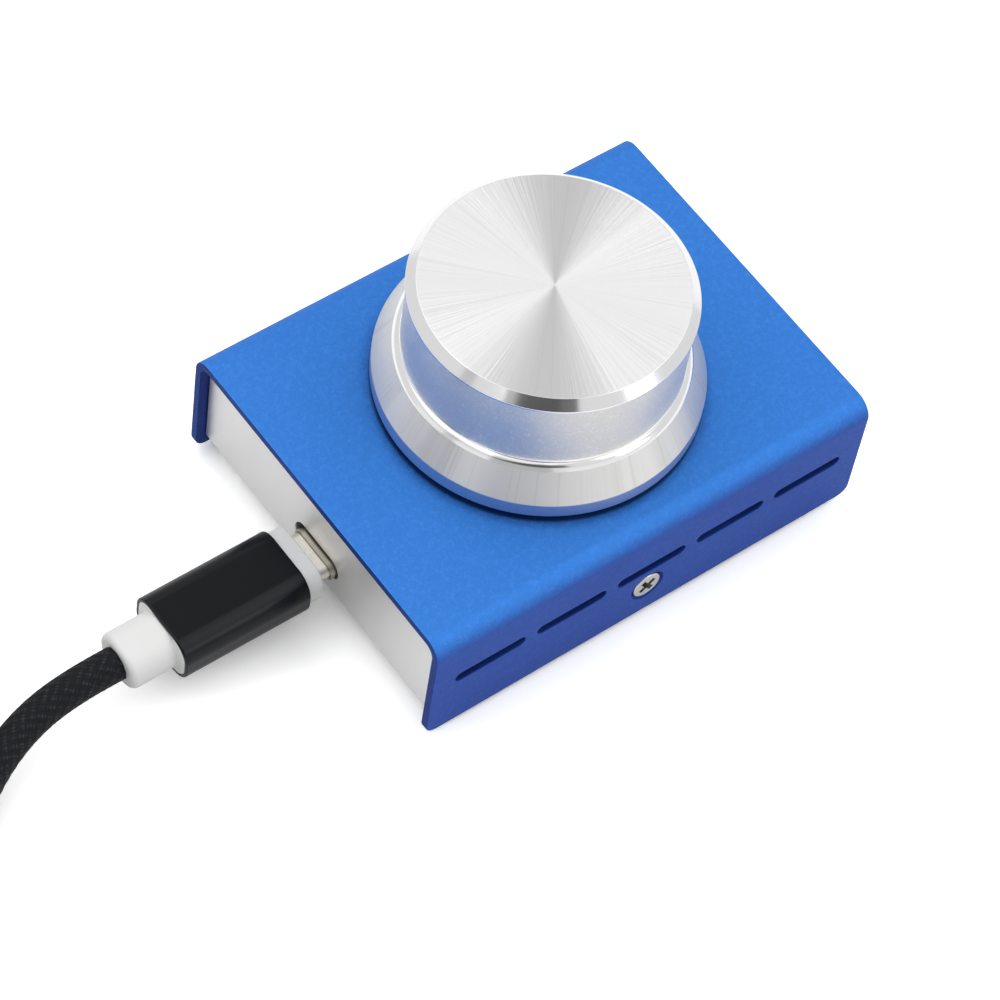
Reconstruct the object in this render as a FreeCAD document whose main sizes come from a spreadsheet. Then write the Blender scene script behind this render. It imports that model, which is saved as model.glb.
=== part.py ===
"""USB volume control knob: a sheet-metal case, a push-and-turn encoder under a turned knob, and its lead.

Millimetres. +Z is up, the case's long side runs along X and the USB port faces -X. The origin lies on the
surface the feet stand on, under the middle of the case, which is also the knob's axis.
"""
import FreeCAD, Part
import math
import os
import re

import Sketcher

SIZES = {
    # Case: an inverted-U cover over a U chassis, both bent from sheet.
    "case_length": 75.0,
    "case_width": 57.6,
    "cover_height": 21.1,
    "cover_sheet": 1.3,
    "cover_bend": 3.0,
    "flange_corner": 1.8,
    "shaft_hole": 9.0,
    "slot_count": 5,
    "slot_length": 11.8,
    "slot_width": 1.8,
    "slot_pitch": 13.87,
    "slot_rise": 11.2,
    "chassis_sheet": 1.2,
    "chassis_bend": 1.6,
    "chassis_gap": 0.15,
    "end_recess": 1.5,
    "base_recess": 1.2,
    "tab_width": 14.0,
    "tab_rise": 8.6,
    "port_length": 10.2,
    "port_height": 4.1,
    "port_rise": 7.15,
    "port_shift": 0.3,
    # Feet and fasteners.
    "foot_height": 2.5,
    "foot_diameter": 8.0,
    "foot_round": 0.6,
    "foot_inset": 8.0,
    "side_screw_rise": 6.3,
    "side_screw_thread": 3.0,
    "side_screw_head": 5.3,
    "side_screw_length": 6.0,
    "side_screw_hole": 3.4,
    "head_sink": 0.05,
    "head_play": 0.2,
    "thread_play": 0.04,
    "cross_width": 0.7,
    "cross_span": 3.0,
    "cross_depth": 0.9,
    # Circuit board on four studs.
    "board_length": 58.0,
    "board_width": 40.0,
    "board_thickness": 1.6,
    "board_gap": 0.4,
    "board_corner": 1.5,
    "board_hole_inset": 4.0,
    "board_screw_thread": 2.5,
    "board_screw_head": 4.6,
    "board_screw_head_height": 1.6,
    "board_screw_bevel": 0.5,
    "board_screw_length": 3.9,
    "board_screw_hole": 2.8,
    "stud_diameter": 5.5,
    "stud_tail": 4.2,
    "lead_hole_play": 0.1,
    "solder_tail": 0.9,
    # USB-C receptacle.
    "receptacle_width": 8.94,
    "receptacle_height": 3.26,
    "receptacle_wall": 0.3,
    "stake_setback": 3.25,
    "receptacle_length": 7.35,
    "receptacle_reach": 0.75,
    "receptacle_block": 2.0,
    "tongue_width": 6.69,
    "tongue_thickness": 0.7,
    "tongue_setback": 0.8,
    "stake_width": 1.0,
    "contact_count": 12,
    "contact_pitch": 0.5,
    "contact_width": 0.26,
    "contact_sheet": 0.08,
    "contact_tail": 0.9,
    "contact_setback": 0.4,
    # Rotary encoder with push switch.
    "housing_side": 11.9,
    "housing_height": 5.7,
    "housing_floor": 1.0,
    "housing_ledge": 2.3,
    "dome_bore": 7.6,
    "rotor_bore": 10.0,
    "frame_sheet": 0.8,
    "frame_depth": 13.2,
    "leg_sheet": 0.5,
    "leg_width": 5.0,
    "lug_width": 2.0,
    "bushing_diameter": 7.0,
    "bushing_length": 7.0,
    "bushing_play": 0.05,
    "bushing_bevel": 0.3,
    "rotor_diameter": 9.4,
    "rotor_thickness": 2.0,
    "rotor_play": 0.1,
    "shaft_diameter": 6.0,
    "shaft_length": 20.0,
    "shaft_flat_length": 12.0,
    "shaft_flat": 4.5,
    "shaft_bevel": 0.5,
    "collar_diameter": 7.4,
    "collar_height": 0.5,
    "drive_diameter": 3.8,
    "drive_flats": 2.8,
    "drive_play": 0.05,
    "press_travel": 0.5,
    "dome_diameter": 6.6,
    "dome_height": 0.8,
    "dome_crown": 2.0,
    "dome_sheet": 0.12,
    "dome_rim": 0.5,
    "dome_play": 0.02,
    "pin_width": 0.8,
    "pin_sheet": 0.3,
    "pin_pitch": 2.5,
    "pin_rise": 2.0,
    # Other parts on the board.
    "controller_length": 9.9,
    "controller_width": 3.9,
    "controller_height": 1.45,
    "controller_bevel": 0.25,
    "controller_gap": 5.0,
    "controller_span": 6.0,
    "controller_leads": 8,
    "controller_pitch": 1.27,
    "controller_lead_width": 0.4,
    "controller_lead_sheet": 0.2,
    "controller_shoulder": 0.42,
    "chip_length": 1.6,
    "chip_width": 0.8,
    "capacitor_height": 0.8,
    "resistor_height": 0.45,
    "chip_gap": 2.0,
    # Knob, turned from solid bar.
    "knob_clearance": 0.7,
    "knob_height": 21.2,
    "knob_face": 37.5,
    "knob_crown": 40.2,
    "crown_height": 1.25,
    "crown_land": 0.3,
    "knob_wall": 39.6,
    "wall_height": 11.65,
    "ring_height": 1.45,
    "knob_ring": 42.24,
    "cone_height": 4.05,
    "knob_skirt": 46.8,
    "knob_hollow": 40.8,
    "hollow_depth": 3.0,
    "hub_diameter": 16.0,
    "hub_lift": 0.3,
    "bore_play": 0.04,
    "bore_depth": 11.5,
    "root_fillet": 0.5,
    "edge_fillet": 0.2,
    "set_screw_thread": 4.0,
    "set_screw_length": 6.0,
    "set_screw_bevel": 0.6,
    "set_screw_play": 0.02,
    "set_screw_rise": 5.4,
    "set_screw_socket": 2.0,
    "set_screw_socket_depth": 2.5,
    # Plug at the case end of the lead.
    "tip_width": 8.25,
    "tip_height": 2.4,
    "tip_wall": 0.25,
    "tip_length": 6.65,
    "tip_root": 3.0,
    "tip_play": 0.03,
    "tip_slot_width": 6.95,
    "tip_slot_height": 0.9,
    "tip_slot_depth": 5.0,
    "insert_setback": 0.1,
    "plug_standoff": 2.9,
    "plug_collar": 2.5,
    "sleeve_length": 20.5,
    "sleeve_width": 12.4,
    "sleeve_height": 8.0,
    "sleeve_corner": 3.2,
    "sleeve_wall": 0.5,
    "sleeve_edge": 0.2,
    "relief_length": 7.2,
    "relief_width": 8.8,
    "relief_height": 7.0,
    "relief_round": 0.9,
    # Braided lead, wound up for storage, and its tie.
    "cord_diameter": 5.0,
    "coil_radius": 25.4,
    "coil_x": -130.0,
    "coil_y": 2.0,
    "coil_crown_start": 165.0,
    "coil_crown_turn": 255.0,
    "tie_sheet": 0.6,
    "tie_play": 0.02,
    "tie_turn": 18.0,
    "tie_place": 250.0,
    # Plug at the computer end of the lead.
    "host_width": 15.6,
    "host_height": 8.2,
    "host_corner": 3.2,
    "host_wall": 0.5,
    "host_collar": 2.0,
    "host_sleeve_length": 22.0,
    "host_shell_width": 12.0,
    "host_shell_height": 4.5,
    "host_shell_length": 11.8,
    "host_shell_root": 3.0,
    "host_shell_wall": 0.3,
    "host_shell_corner": 0.5,
    "host_insert_height": 1.9,
    "host_insert_setback": 0.5,
    "host_contact_pitch": 2.4,
    "host_contact_width": 1.0,
    "host_contact_length": 7.0,
    "host_contact_setback": 0.8,
    "host_contact_count": 4,
}

# Places worked out from the sizes. Each word may be used in the formulas below and in the sub-parts.
PLACES = {
    "cover_bottom": "foot_height - base_recess",
    "cover_top": "cover_bottom + cover_height",
    "cover_ceiling": "cover_top - cover_sheet",
    "half_width": "case_width / 2",
    "base_top": "foot_height + chassis_sheet",
    "end_face": "case_length / 2 - end_recess",
    "end_inside": "end_face - chassis_sheet",
    "end_top": "cover_ceiling - chassis_gap",
    "chassis_side": "half_width - cover_sheet - chassis_gap",
    "inner_bend": "cover_bend - cover_sheet",
    "screw_level": "cover_bottom + side_screw_rise",
    "port_level": "cover_bottom + port_rise",
    "board_top": "port_level - receptacle_height / 2",
    "board_bottom": "board_top - board_thickness",
    "board_left": "board_gap - end_inside",
    "board_middle": "board_left + board_length / 2",
    "stud_x": "board_length / 2 - board_hole_inset",
    "stud_y": "board_width / 2 - board_hole_inset",
    "mouth": "-end_face - receptacle_reach",
    "receptacle_back": "mouth + receptacle_length",
    "tongue_base": "receptacle_back - receptacle_block",
    "lead_end": "board_bottom - solder_tail",
    "dome_seat": "board_top + housing_floor",
    "dome_top": "dome_seat + dome_height",
    "rotor_seat": "board_top + housing_ledge + rotor_play",
    "rotor_top": "rotor_seat + rotor_thickness",
    "frame_seat": "board_top + housing_height",
    "encoder_top": "frame_seat + frame_sheet",
    "collar_top": "frame_seat - rotor_play",
    "collar_bottom": "collar_top - collar_height",
    "shaft_top": "encoder_top + shaft_length",
    "flat_plane": "shaft_flat - shaft_diameter / 2",
    "knob_bottom": "cover_top + press_travel + knob_clearance",
    "lip_height": "knob_height - crown_height - crown_land - wall_height - ring_height - cone_height",
    "set_screw_level": "knob_bottom + set_screw_rise",
    "collar_face": "-end_face - plug_standoff",
    "sleeve_front": "collar_face - plug_collar",
    "sleeve_back": "sleeve_front - sleeve_length",
    "relief_end": "sleeve_back - relief_length",
    "host_level": "host_height / 2",
    "host_shell_start": "relief_length + host_sleeve_length + host_collar - host_shell_root",
    "host_shell_floor": "host_level - host_shell_height / 2 + host_shell_wall",
    "controller_x": "housing_side / 2 + leg_sheet + controller_gap + controller_span / 2",
    "row_step": "cord_diameter * sqrt(3) / 2",
    "coil_floor": "tie_sheet + tie_play",
}

# The lead's route from the plug to the coil, and from the coil to the host plug: points chosen by hand.
LEAD_ROUTE = [
    (-69.1, 0.0, 8.45),
    (-75.8, 0.2, 8.3),
    (-84.2, -0.7, 7.1),
    (-92.3, -4.0, 5.3),
    (-99.8, -9.8, 3.7),
    (-106.7, -17.4, 3.0),
    (-114.8, -24.3, 3.1),
]
TAIL_ROUTE = [
    (-154.5, 8.6, 11.8),
    (-150.3, 17.9, 12.2),
    (-144.7, 26.8, 12.1),
    (-137.5, 33.3, 10.1),
    (-129.2, 38.0, 7.0),
    (-120.4, 40.5, 4.6),
    (-112.0, 41.0, 4.1),
]
# Share of the shorter run beside a point that the arc at the point takes up.
RUN_SHARE = 0.45
# Two coordinates closer than this are taken as one.
NEAR = 1e-4

DOC = FreeCAD.newDocument("usb_volume_knob")
SHEET = DOC.addObject("Spreadsheet::Sheet", "Sizes")
NODES = []


def fill_sheet():
    """Write every driving size into the sheet as a plain number with its own name."""
    for row, (name, size) in enumerate(SIZES.items(), start=1):
        SHEET.set(f"A{row}", name)
        SHEET.set(f"B{row}", str(size))
        SHEET.setAlias(f"B{row}", name)
    DOC.recompute()


def formula(text):
    """Turn the words of a formula into references to the sheet."""
    def expand(match):
        word = match[0]
        if word in PLACES:
            return f"({formula(PLACES[word])})"
        return f"Sizes.{word}" if word in SIZES else word
    return re.sub(r"[a-z][a-z0-9_]*", expand, text)


def number(text):
    """The present value of a formula, for shapes made by Part's own functions."""
    return float(SHEET.evalExpression(formula(text)))


def bind(thing, **sizes):
    """Bind properties of an object to formulas."""
    for name, text in sizes.items():
        thing.setExpression(name, formula(text))


def place(thing, x="0", y="0", z="0"):
    """Bind an object's position to formulas."""
    for axis, text in (("x", x), ("y", y), ("z", z)):
        thing.setExpression(f"Placement.Base.{axis}", formula(text))


def node(thing, name):
    """Name an object as one of the finished sub-parts."""
    thing.Label = name
    NODES.append(thing)
    return thing


# ---------------------------------------------------------------- sketches and features


def new_body(name):
    """An empty body whose features carry the sub-part's name."""
    return DOC.addObject("PartDesign::Body", f"{name}_body")


def origin_plane(body, role):
    """One of the body's own origin planes."""
    return next(item for item in body.Origin.OriginFeatures if item.Role == role)


def sketch(body, name, role, offset="0"):
    """A sketch on an origin plane, moved along the plane's normal by a formula."""
    page = body.newObject("Sketcher::SketchObject", name)
    page.AttachmentSupport = [(origin_plane(body, role), "")]
    page.MapMode = "FlatFace"
    page.setExpression("AttachmentOffset.Base.z", formula(offset))
    return page


def fix_point(page, edge, end, x, y):
    """Lock one end of an edge to two formulas."""
    for kind, text in (("DistanceX", x), ("DistanceY", y)):
        index = page.addConstraint(Sketcher.Constraint(kind, edge, end, number(text)))
        page.setExpression(f"Constraints[{index}]", formula(text))


def fix_radius(page, edge, radius):
    """Set an arc's or a circle's radius to a formula."""
    index = page.addConstraint(Sketcher.Constraint("Radius", edge, number(radius)))
    page.setExpression(f"Constraints[{index}]", formula(radius))


def polygon(page, corners):
    """A closed outline of straight edges through corners given as pairs of formulas."""
    points = [FreeCAD.Vector(number(x), number(y), 0) for x, y in corners]
    first = page.GeometryCount
    count = len(points)
    for i, point in enumerate(points):
        page.addGeometry(Part.LineSegment(point, points[(i + 1) % count]), False)
    for i in range(count):
        following = first + (i + 1) % count
        page.addConstraint(Sketcher.Constraint("Coincident", first + i, 2, following, 1))
    for i, (x, y) in enumerate(corners):
        fix_point(page, first + i, 1, x, y)


def rectangle(page, length, width, x="0", y="0"):
    """A rectangle centred on a point."""
    left, right = f"{x} - ({length}) / 2", f"{x} + ({length}) / 2"
    low, high = f"{y} - ({width}) / 2", f"{y} + ({width}) / 2"
    polygon(page, [(left, low), (right, low), (right, high), (left, high)])


def circle(page, diameter, x="0", y="0"):
    """A circle round a point."""
    center = FreeCAD.Vector(number(x), number(y), 0)
    radius = f"({diameter}) / 2"
    edge = page.addGeometry(Part.Circle(center, FreeCAD.Vector(0, 0, 1), number(radius)), False)
    fix_point(page, edge, 3, x, y)
    fix_radius(page, edge, radius)


def rounded_outline(page, width, height, corner, x="0", y="0"):
    """A rectangle with four equal round corners."""
    reach_x, reach_y = f"(({width}) / 2 - ({corner}))", f"(({height}) / 2 - ({corner}))"
    signs = [(1, 1), (-1, 1), (-1, -1), (1, -1)]
    centers = [(f"{x} + {sx} * {reach_x}", f"{y} + {sy} * {reach_y}") for sx, sy in signs]
    radius = number(corner)
    arcs = []
    for quarter, (cx, cy) in enumerate(centers):
        full = Part.Circle(FreeCAD.Vector(number(cx), number(cy), 0), FreeCAD.Vector(0, 0, 1), radius)
        start = quarter * math.pi / 2
        arcs.append(page.addGeometry(Part.ArcOfCircle(full, start, start + math.pi / 2), False))
    join_arcs(page, arcs)
    for arc, (cx, cy) in zip(arcs, centers):
        fix_point(page, arc, 3, cx, cy)
        fix_radius(page, arc, corner)


def stadium(page, width, height, x="0", y="0"):
    """A slot outline: two half circles and two straight sides."""
    reach = f"(({width}) - ({height})) / 2"
    centers = [(f"{x} + {reach}", y), (f"{x} - {reach}", y)]
    radius = number(f"({height}) / 2")
    arcs = []
    for half, (cx, cy) in enumerate(centers):
        full = Part.Circle(FreeCAD.Vector(number(cx), number(cy), 0), FreeCAD.Vector(0, 0, 1), radius)
        start = half * math.pi - math.pi / 2
        arcs.append(page.addGeometry(Part.ArcOfCircle(full, start, start + math.pi), False))
    join_arcs(page, arcs)
    for arc, (cx, cy) in zip(arcs, centers):
        fix_point(page, arc, 3, cx, cy)
        fix_radius(page, arc, f"({height}) / 2")


def double_flat(page, diameter, flats):
    """A round outline with two flats square to Y, centred on the origin."""
    radius, half = f"(({diameter}) / 2)", f"(({flats}) / 2)"
    rise = math.asin(number(half) / number(radius))
    arcs = []
    for start in (-rise, math.pi - rise):
        full = Part.Circle(FreeCAD.Vector(), FreeCAD.Vector(0, 0, 1), number(radius))
        arcs.append(page.addGeometry(Part.ArcOfCircle(full, start, start + 2 * rise), False))
    for arc, low_end, high_end in ((arcs[0], 1, 2), (arcs[1], 2, 1)):
        fix_point(page, arc, 3, "0", "0")
        fix_radius(page, arc, radius)
        for end, level in ((low_end, f"-{half}"), (high_end, half)):
            index = page.addConstraint(Sketcher.Constraint("DistanceY", arc, end, number(level)))
            page.setExpression(f"Constraints[{index}]", formula(level))
    for arc, following in (arcs, arcs[::-1]):
        start, stop = page.Geometry[arc].EndPoint, page.Geometry[following].StartPoint
        line = page.addGeometry(Part.LineSegment(start, stop), False)
        page.addConstraint(Sketcher.Constraint("Coincident", arc, 2, line, 1))
        page.addConstraint(Sketcher.Constraint("Coincident", line, 2, following, 1))


def join_arcs(page, arcs):
    """Join arcs that follow each other counterclockwise by tangent lines."""
    for i, arc in enumerate(arcs):
        following = arcs[(i + 1) % len(arcs)]
        start = page.Geometry[arc].EndPoint
        stop = page.Geometry[following].StartPoint
        line = page.addGeometry(Part.LineSegment(start, stop), False)
        page.addConstraint(Sketcher.Constraint("Tangent", arc, 2, line, 1))
        page.addConstraint(Sketcher.Constraint("Tangent", line, 2, following, 1))


def pad(body, page, length, middle=False):
    """Extrude a sketch along its normal, or evenly to both sides of it."""
    feature = body.newObject("PartDesign::Pad", f"{page.Name}_pad")
    feature.Profile = page
    feature.Midplane = middle
    bind(feature, Length=length)
    page.Visibility = False
    return feature


def pocket(body, page, length=None, middle=False, reverse=False):
    """Cut a sketch against its normal by a length, or right through."""
    feature = body.newObject("PartDesign::Pocket", f"{page.Name}_pocket")
    feature.Profile = page
    feature.Midplane = middle
    feature.Reversed = reverse
    if length is None:
        feature.Type = "ThroughAll"
    else:
        bind(feature, Length=length)
    return feature


def turned(body, name, corners):
    """A full turn about Z of an outline given as radius and height formulas."""
    page = sketch(body, name, "XZ_Plane")
    polygon(page, corners)
    feature = body.newObject("PartDesign::Revolution", f"{name}_turn")
    feature.Profile = page
    feature.ReferenceAxis = (page, ["V_Axis"])
    feature.Angle = 360
    return feature


def edges_where(feature, test):
    """Names of the feature's edges whose bounding box passes a test."""
    DOC.recompute()
    names = []
    for index, edge in enumerate(feature.Shape.Edges, start=1):
        if test(edge.BoundBox):
            names.append(f"Edge{index}")
    return names


def at(value, *wanted):
    """Whether a coordinate is one of the wanted ones."""
    return any(abs(value - one) < NEAR for one in wanted)


def along_x(box):
    """Whether an edge runs along X."""
    return box.XLength > NEAR and box.YLength < NEAR and box.ZLength < NEAR


def along_y(box):
    """Whether an edge runs along Y."""
    return box.YLength > NEAR and box.XLength < NEAR and box.ZLength < NEAR


def fillet(body, base, edges, radius):
    """Round the named edges of a feature."""
    feature = body.newObject("PartDesign::Fillet", f"{base.Name}_fillet")
    feature.Base = (base, edges)
    bind(feature, Radius=radius)
    return feature


def mirrored_pair(name, source, normal, middle="0"):
    """A piece and its mirror image across a plane square to X or Y."""
    image = DOC.addObject("Part::Mirroring", f"{name}_image")
    image.Source = source
    image.Normal = normal
    image.setExpression("Base.x", formula(middle))
    pair = DOC.addObject("Part::Compound", f"{name}_pair")
    pair.Links = [source, image]
    return pair


def four_corners(name, source, middle="0"):
    """A piece repeated at the four corners of a rectangle."""
    pair = mirrored_pair(f"{name}_row", source, FreeCAD.Vector(1, 0, 0), middle)
    return mirrored_pair(name, pair, FreeCAD.Vector(0, 1, 0))


def shape_node(name, shape):
    """A sub-part whose shape is set directly."""
    thing = DOC.addObject("Part::Feature", f"{name}_shape")
    thing.Shape = shape
    return node(thing, name)


# ---------------------------------------------------------------- case


def make_top_cover():
    """Inverted-U cover: bent sheet with slots, countersunk screw holes and the shaft hole."""
    body = new_body("top_cover")
    section = sketch(body, "cover_section", "YZ_Plane")
    polygon(section, [
        ("-half_width", "cover_bottom"),
        ("-half_width", "cover_top"),
        ("half_width", "cover_top"),
        ("half_width", "cover_bottom"),
        ("half_width - cover_sheet", "cover_bottom"),
        ("half_width - cover_sheet", "cover_ceiling"),
        ("cover_sheet - half_width", "cover_ceiling"),
        ("cover_sheet - half_width", "cover_bottom"),
    ])
    shell = pad(body, section, "case_length", middle=True)
    top, ceiling = number("cover_top"), number("cover_ceiling")
    outer = edges_where(shell, lambda box: along_x(box) and at(box.ZMin, top))
    bend = fillet(body, shell, outer, "cover_bend")
    inner = edges_where(bend, lambda box: along_x(box) and at(box.ZMin, ceiling))
    bend = fillet(body, bend, inner, "inner_bend")
    end, bottom = number("case_length / 2"), number("cover_bottom")
    corners = edges_where(
        bend, lambda box: along_y(box) and at(abs(box.XMin), end) and at(box.ZMin, bottom))
    fillet(body, bend, corners, "flange_corner")

    slot = sketch(body, "slot_outline", "XZ_Plane")
    first_slot = "-(slot_count - 1) * slot_pitch / 2"
    stadium(slot, "slot_length", "slot_width", first_slot, "cover_bottom + slot_rise")
    cut = pocket(body, slot, middle=True)
    row = body.newObject("PartDesign::LinearPattern", "slot_row")
    row.Originals = [cut]
    row.Direction = (slot, ["H_Axis"])
    bind(row, Length="(slot_count - 1) * slot_pitch", Occurrences="slot_count")
    body.Tip = row

    opening = sketch(body, "shaft_opening", "XY_Plane")
    circle(opening, "shaft_hole")
    pocket(body, opening, middle=True)

    spot = sketch(body, "side_screw_spot", "XZ_Plane", "half_width")
    circle(spot, "side_screw_hole", "0", "screw_level")
    DOC.recompute()
    hole = body.newObject("PartDesign::Hole", "side_screw_hole_front")
    hole.Profile = spot
    hole.DepthType = "Dimension"
    hole.DrillPoint = "Flat"
    hole.HoleCutType = "Countersink"
    hole.HoleCutCustomValues = True
    hole.HoleCutCountersinkAngle = 90
    bind(hole, Diameter="side_screw_hole", Depth="2 * cover_sheet")
    bind(hole, HoleCutDiameter="side_screw_head + head_play")
    other = body.newObject("PartDesign::Mirrored", "side_screw_hole_back")
    other.Originals = [hole]
    other.MirrorPlane = (origin_plane(body, "XZ_Plane"), [""])
    body.Tip = other
    return node(body, "top_cover")


def make_base_chassis():
    """U chassis: base, two end plates, one with the port, and two side tabs for the screws."""
    body = new_body("base_chassis")
    section = sketch(body, "chassis_section", "XZ_Plane")
    polygon(section, [
        ("-end_face", "foot_height"),
        ("-end_face", "end_top"),
        ("-end_inside", "end_top"),
        ("-end_inside", "base_top"),
        ("end_inside", "base_top"),
        ("end_inside", "end_top"),
        ("end_face", "end_top"),
        ("end_face", "foot_height"),
    ])
    shell = pad(body, section, "2 * chassis_side", middle=True)
    bottom, floor, top = number("foot_height"), number("base_top"), number("end_top")
    face, side = number("end_face"), number("chassis_side")
    outer = edges_where(
        shell, lambda box: along_y(box) and at(box.ZMin, bottom) and at(abs(box.XMin), face))
    bend = fillet(body, shell, outer, "chassis_bend")
    inner = edges_where(
        bend, lambda box: along_y(box) and at(box.ZMin, floor) and at(abs(box.XMin), number("end_inside")))
    bend = fillet(body, bend, inner, "chassis_bend - chassis_sheet")
    corners = edges_where(
        bend, lambda box: along_x(box) and at(box.ZMin, top) and at(abs(box.YMin), side))
    fillet(body, bend, corners, "inner_bend")

    tabs = sketch(body, "tab_plan", "XY_Plane", "foot_height")
    rectangle(tabs, "tab_width", "chassis_sheet", "0", "chassis_side - chassis_sheet / 2")
    rectangle(tabs, "tab_width", "chassis_sheet", "0", "chassis_sheet / 2 - chassis_side")
    pad(body, tabs, "tab_rise")
    threads = sketch(body, "tab_threads", "XZ_Plane")
    circle(threads, "side_screw_thread + thread_play", "0", "screw_level")
    pocket(body, threads, middle=True)

    port = sketch(body, "port_outline", "YZ_Plane")
    stadium(port, "port_length", "port_height", "port_shift", "port_level")
    pocket(body, port, "case_length / 2")
    holes = sketch(body, "stud_holes", "XY_Plane")
    for x in ("board_middle - stud_x", "board_middle + stud_x"):
        for y in ("-stud_y", "stud_y"):
            circle(holes, "stud_tail", x, y)
    pocket(body, holes, middle=True)
    return node(body, "base_chassis")


def make_rubber_feet():
    """Four stick-on feet under the base's corners."""
    body = new_body("foot")
    edge = "foot_diameter / 2"
    turned(body, "foot_outline", [
        ("0", "0"),
        (f"{edge} - foot_round", "0"),
        (edge, "foot_round"),
        (edge, "foot_height"),
        ("0", "foot_height"),
    ])
    place(body, "end_face - foot_inset", "chassis_side - foot_inset")
    return node(four_corners("rubber_feet", body), "rubber_feet")


def cross_recess(body, name):
    """Cut a cross recess down from the plane Z = 0 of a screw's own frame."""
    cross = sketch(body, name, "XY_Plane")
    span, half = "cross_span / 2", "cross_width / 2"
    corners = []
    for sx, sy, wide_first in ((1, 1, True), (-1, 1, False), (-1, -1, True), (1, -1, False)):
        outer = (f"{sx} * {span}", f"{sy} * {half}")
        middle = (f"{sx} * {half}", f"{sy} * {half}")
        upper = (f"{sx} * {half}", f"{sy} * {span}")
        corners += [outer, middle, upper] if wide_first else [upper, middle, outer]
    polygon(cross, corners)
    return pocket(body, cross, "cross_depth")


def make_side_screws():
    """Two countersunk screws that hold the cover's flanges to the chassis tabs."""
    body = new_body("side_screw")
    head, shank = "side_screw_head / 2", "side_screw_thread / 2"
    turned(body, "side_screw_outline", [
        ("0", "0"),
        (head, "0"),
        (shank, f"{shank} - {head}"),
        (shank, "-side_screw_length"),
        ("0", "-side_screw_length"),
    ])
    cross_recess(body, "side_screw_cross")
    body.Placement = FreeCAD.Placement(FreeCAD.Vector(), FreeCAD.Rotation(FreeCAD.Vector(1, 0, 0), 90))
    place(body, "0", "head_sink - half_width", "screw_level")
    pair = mirrored_pair("side_screws", body, FreeCAD.Vector(0, 1, 0))
    return node(pair, "side_screws")


# ---------------------------------------------------------------- board and its parts


# Middles of the holes and of what stands in them, as pairs of formulas.
PIN_SPOTS = [
    ("-pin_pitch", "-housing_side / 2 - pin_sheet / 2"),
    ("0", "-housing_side / 2 - pin_sheet / 2"),
    ("pin_pitch", "-housing_side / 2 - pin_sheet / 2"),
    ("-pin_pitch", "housing_side / 2 + pin_sheet / 2"),
    ("pin_pitch", "housing_side / 2 + pin_sheet / 2"),
]
LUG_SPOTS = [
    ("-housing_side / 2 - leg_sheet / 2", "0"),
    ("housing_side / 2 + leg_sheet / 2", "0"),
]
STAKE_SPOTS = [
    (x, y)
    for x in ("mouth + stake_setback", "receptacle_back - stake_width")
    for y in ("receptacle_width / 2 - receptacle_wall / 2", "receptacle_wall / 2 - receptacle_width / 2")
]


def make_circuit_board():
    """Circuit board with holes for its screws, the encoder's pins and lugs, and the receptacle's stakes."""
    body = new_body("circuit_board")
    outline = sketch(body, "board_outline", "XY_Plane", "board_bottom")
    rounded_outline(outline, "board_length", "board_width", "board_corner", "board_middle", "0")
    for x in ("board_middle - stud_x", "board_middle + stud_x"):
        for y in ("-stud_y", "stud_y"):
            circle(outline, "board_screw_hole", x, y)
    for x, y in PIN_SPOTS:
        rectangle(outline, "pin_width + lead_hole_play", "pin_sheet + lead_hole_play", x, y)
    for x, y in LUG_SPOTS:
        rectangle(outline, "leg_sheet + lead_hole_play", "lug_width + lead_hole_play", x, y)
    for x, y in STAKE_SPOTS:
        rectangle(outline, "stake_width + lead_hole_play", "receptacle_wall + lead_hole_play", x, y)
    pad(body, outline, "board_thickness")
    return node(body, "circuit_board")


def make_board_studs():
    """Four tapped studs pressed into the base, which carry the board."""
    body = new_body("board_stud")
    bore = "(board_screw_thread + thread_play) / 2"
    tail, wide = "stud_tail / 2", "stud_diameter / 2"
    turned(body, "stud_outline", [
        (bore, "foot_height"),
        (tail, "foot_height"),
        (tail, "base_top"),
        (wide, "base_top"),
        (wide, "board_bottom"),
        (bore, "board_bottom"),
    ])
    place(body, "board_middle + stud_x", "stud_y")
    return node(four_corners("board_studs", body, "board_middle"), "board_studs")


def make_board_screws():
    """Four pan-head screws through the board into the studs."""
    body = new_body("board_screw")
    head, shank = "board_screw_head / 2", "board_screw_thread / 2"
    height = "board_screw_head_height"
    turned(body, "board_screw_outline", [
        ("0", "0"),
        (f"{head} - board_screw_bevel", "0"),
        (head, "-board_screw_bevel"),
        (head, f"-{height}"),
        (shank, f"-{height}"),
        (shank, f"-{height} - board_screw_length"),
        ("0", f"-{height} - board_screw_length"),
    ])
    cross_recess(body, "board_screw_cross")
    place(body, "board_middle + stud_x", "stud_y", f"board_top + {height}")
    return node(four_corners("board_screws", body, "board_middle"), "board_screws")


def make_receptacle_shell():
    """Metal shell of the USB-C receptacle with four stakes through the board."""
    body = new_body("usb_receptacle_shell")
    ring = sketch(body, "receptacle_ring", "YZ_Plane", "mouth")
    stadium(ring, "receptacle_width", "receptacle_height", "0", "port_level")
    inner_width = "receptacle_width - 2 * receptacle_wall"
    inner_height = "receptacle_height - 2 * receptacle_wall"
    stadium(ring, inner_width, inner_height, "0", "port_level")
    pad(body, ring, "receptacle_length")
    stakes = sketch(body, "receptacle_stakes", "XY_Plane", "lead_end")
    for x, y in STAKE_SPOTS:
        rectangle(stakes, "stake_width", "receptacle_wall", x, y)
    pad(body, stakes, "port_level - lead_end")
    return node(body, "usb_receptacle_shell")


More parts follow.
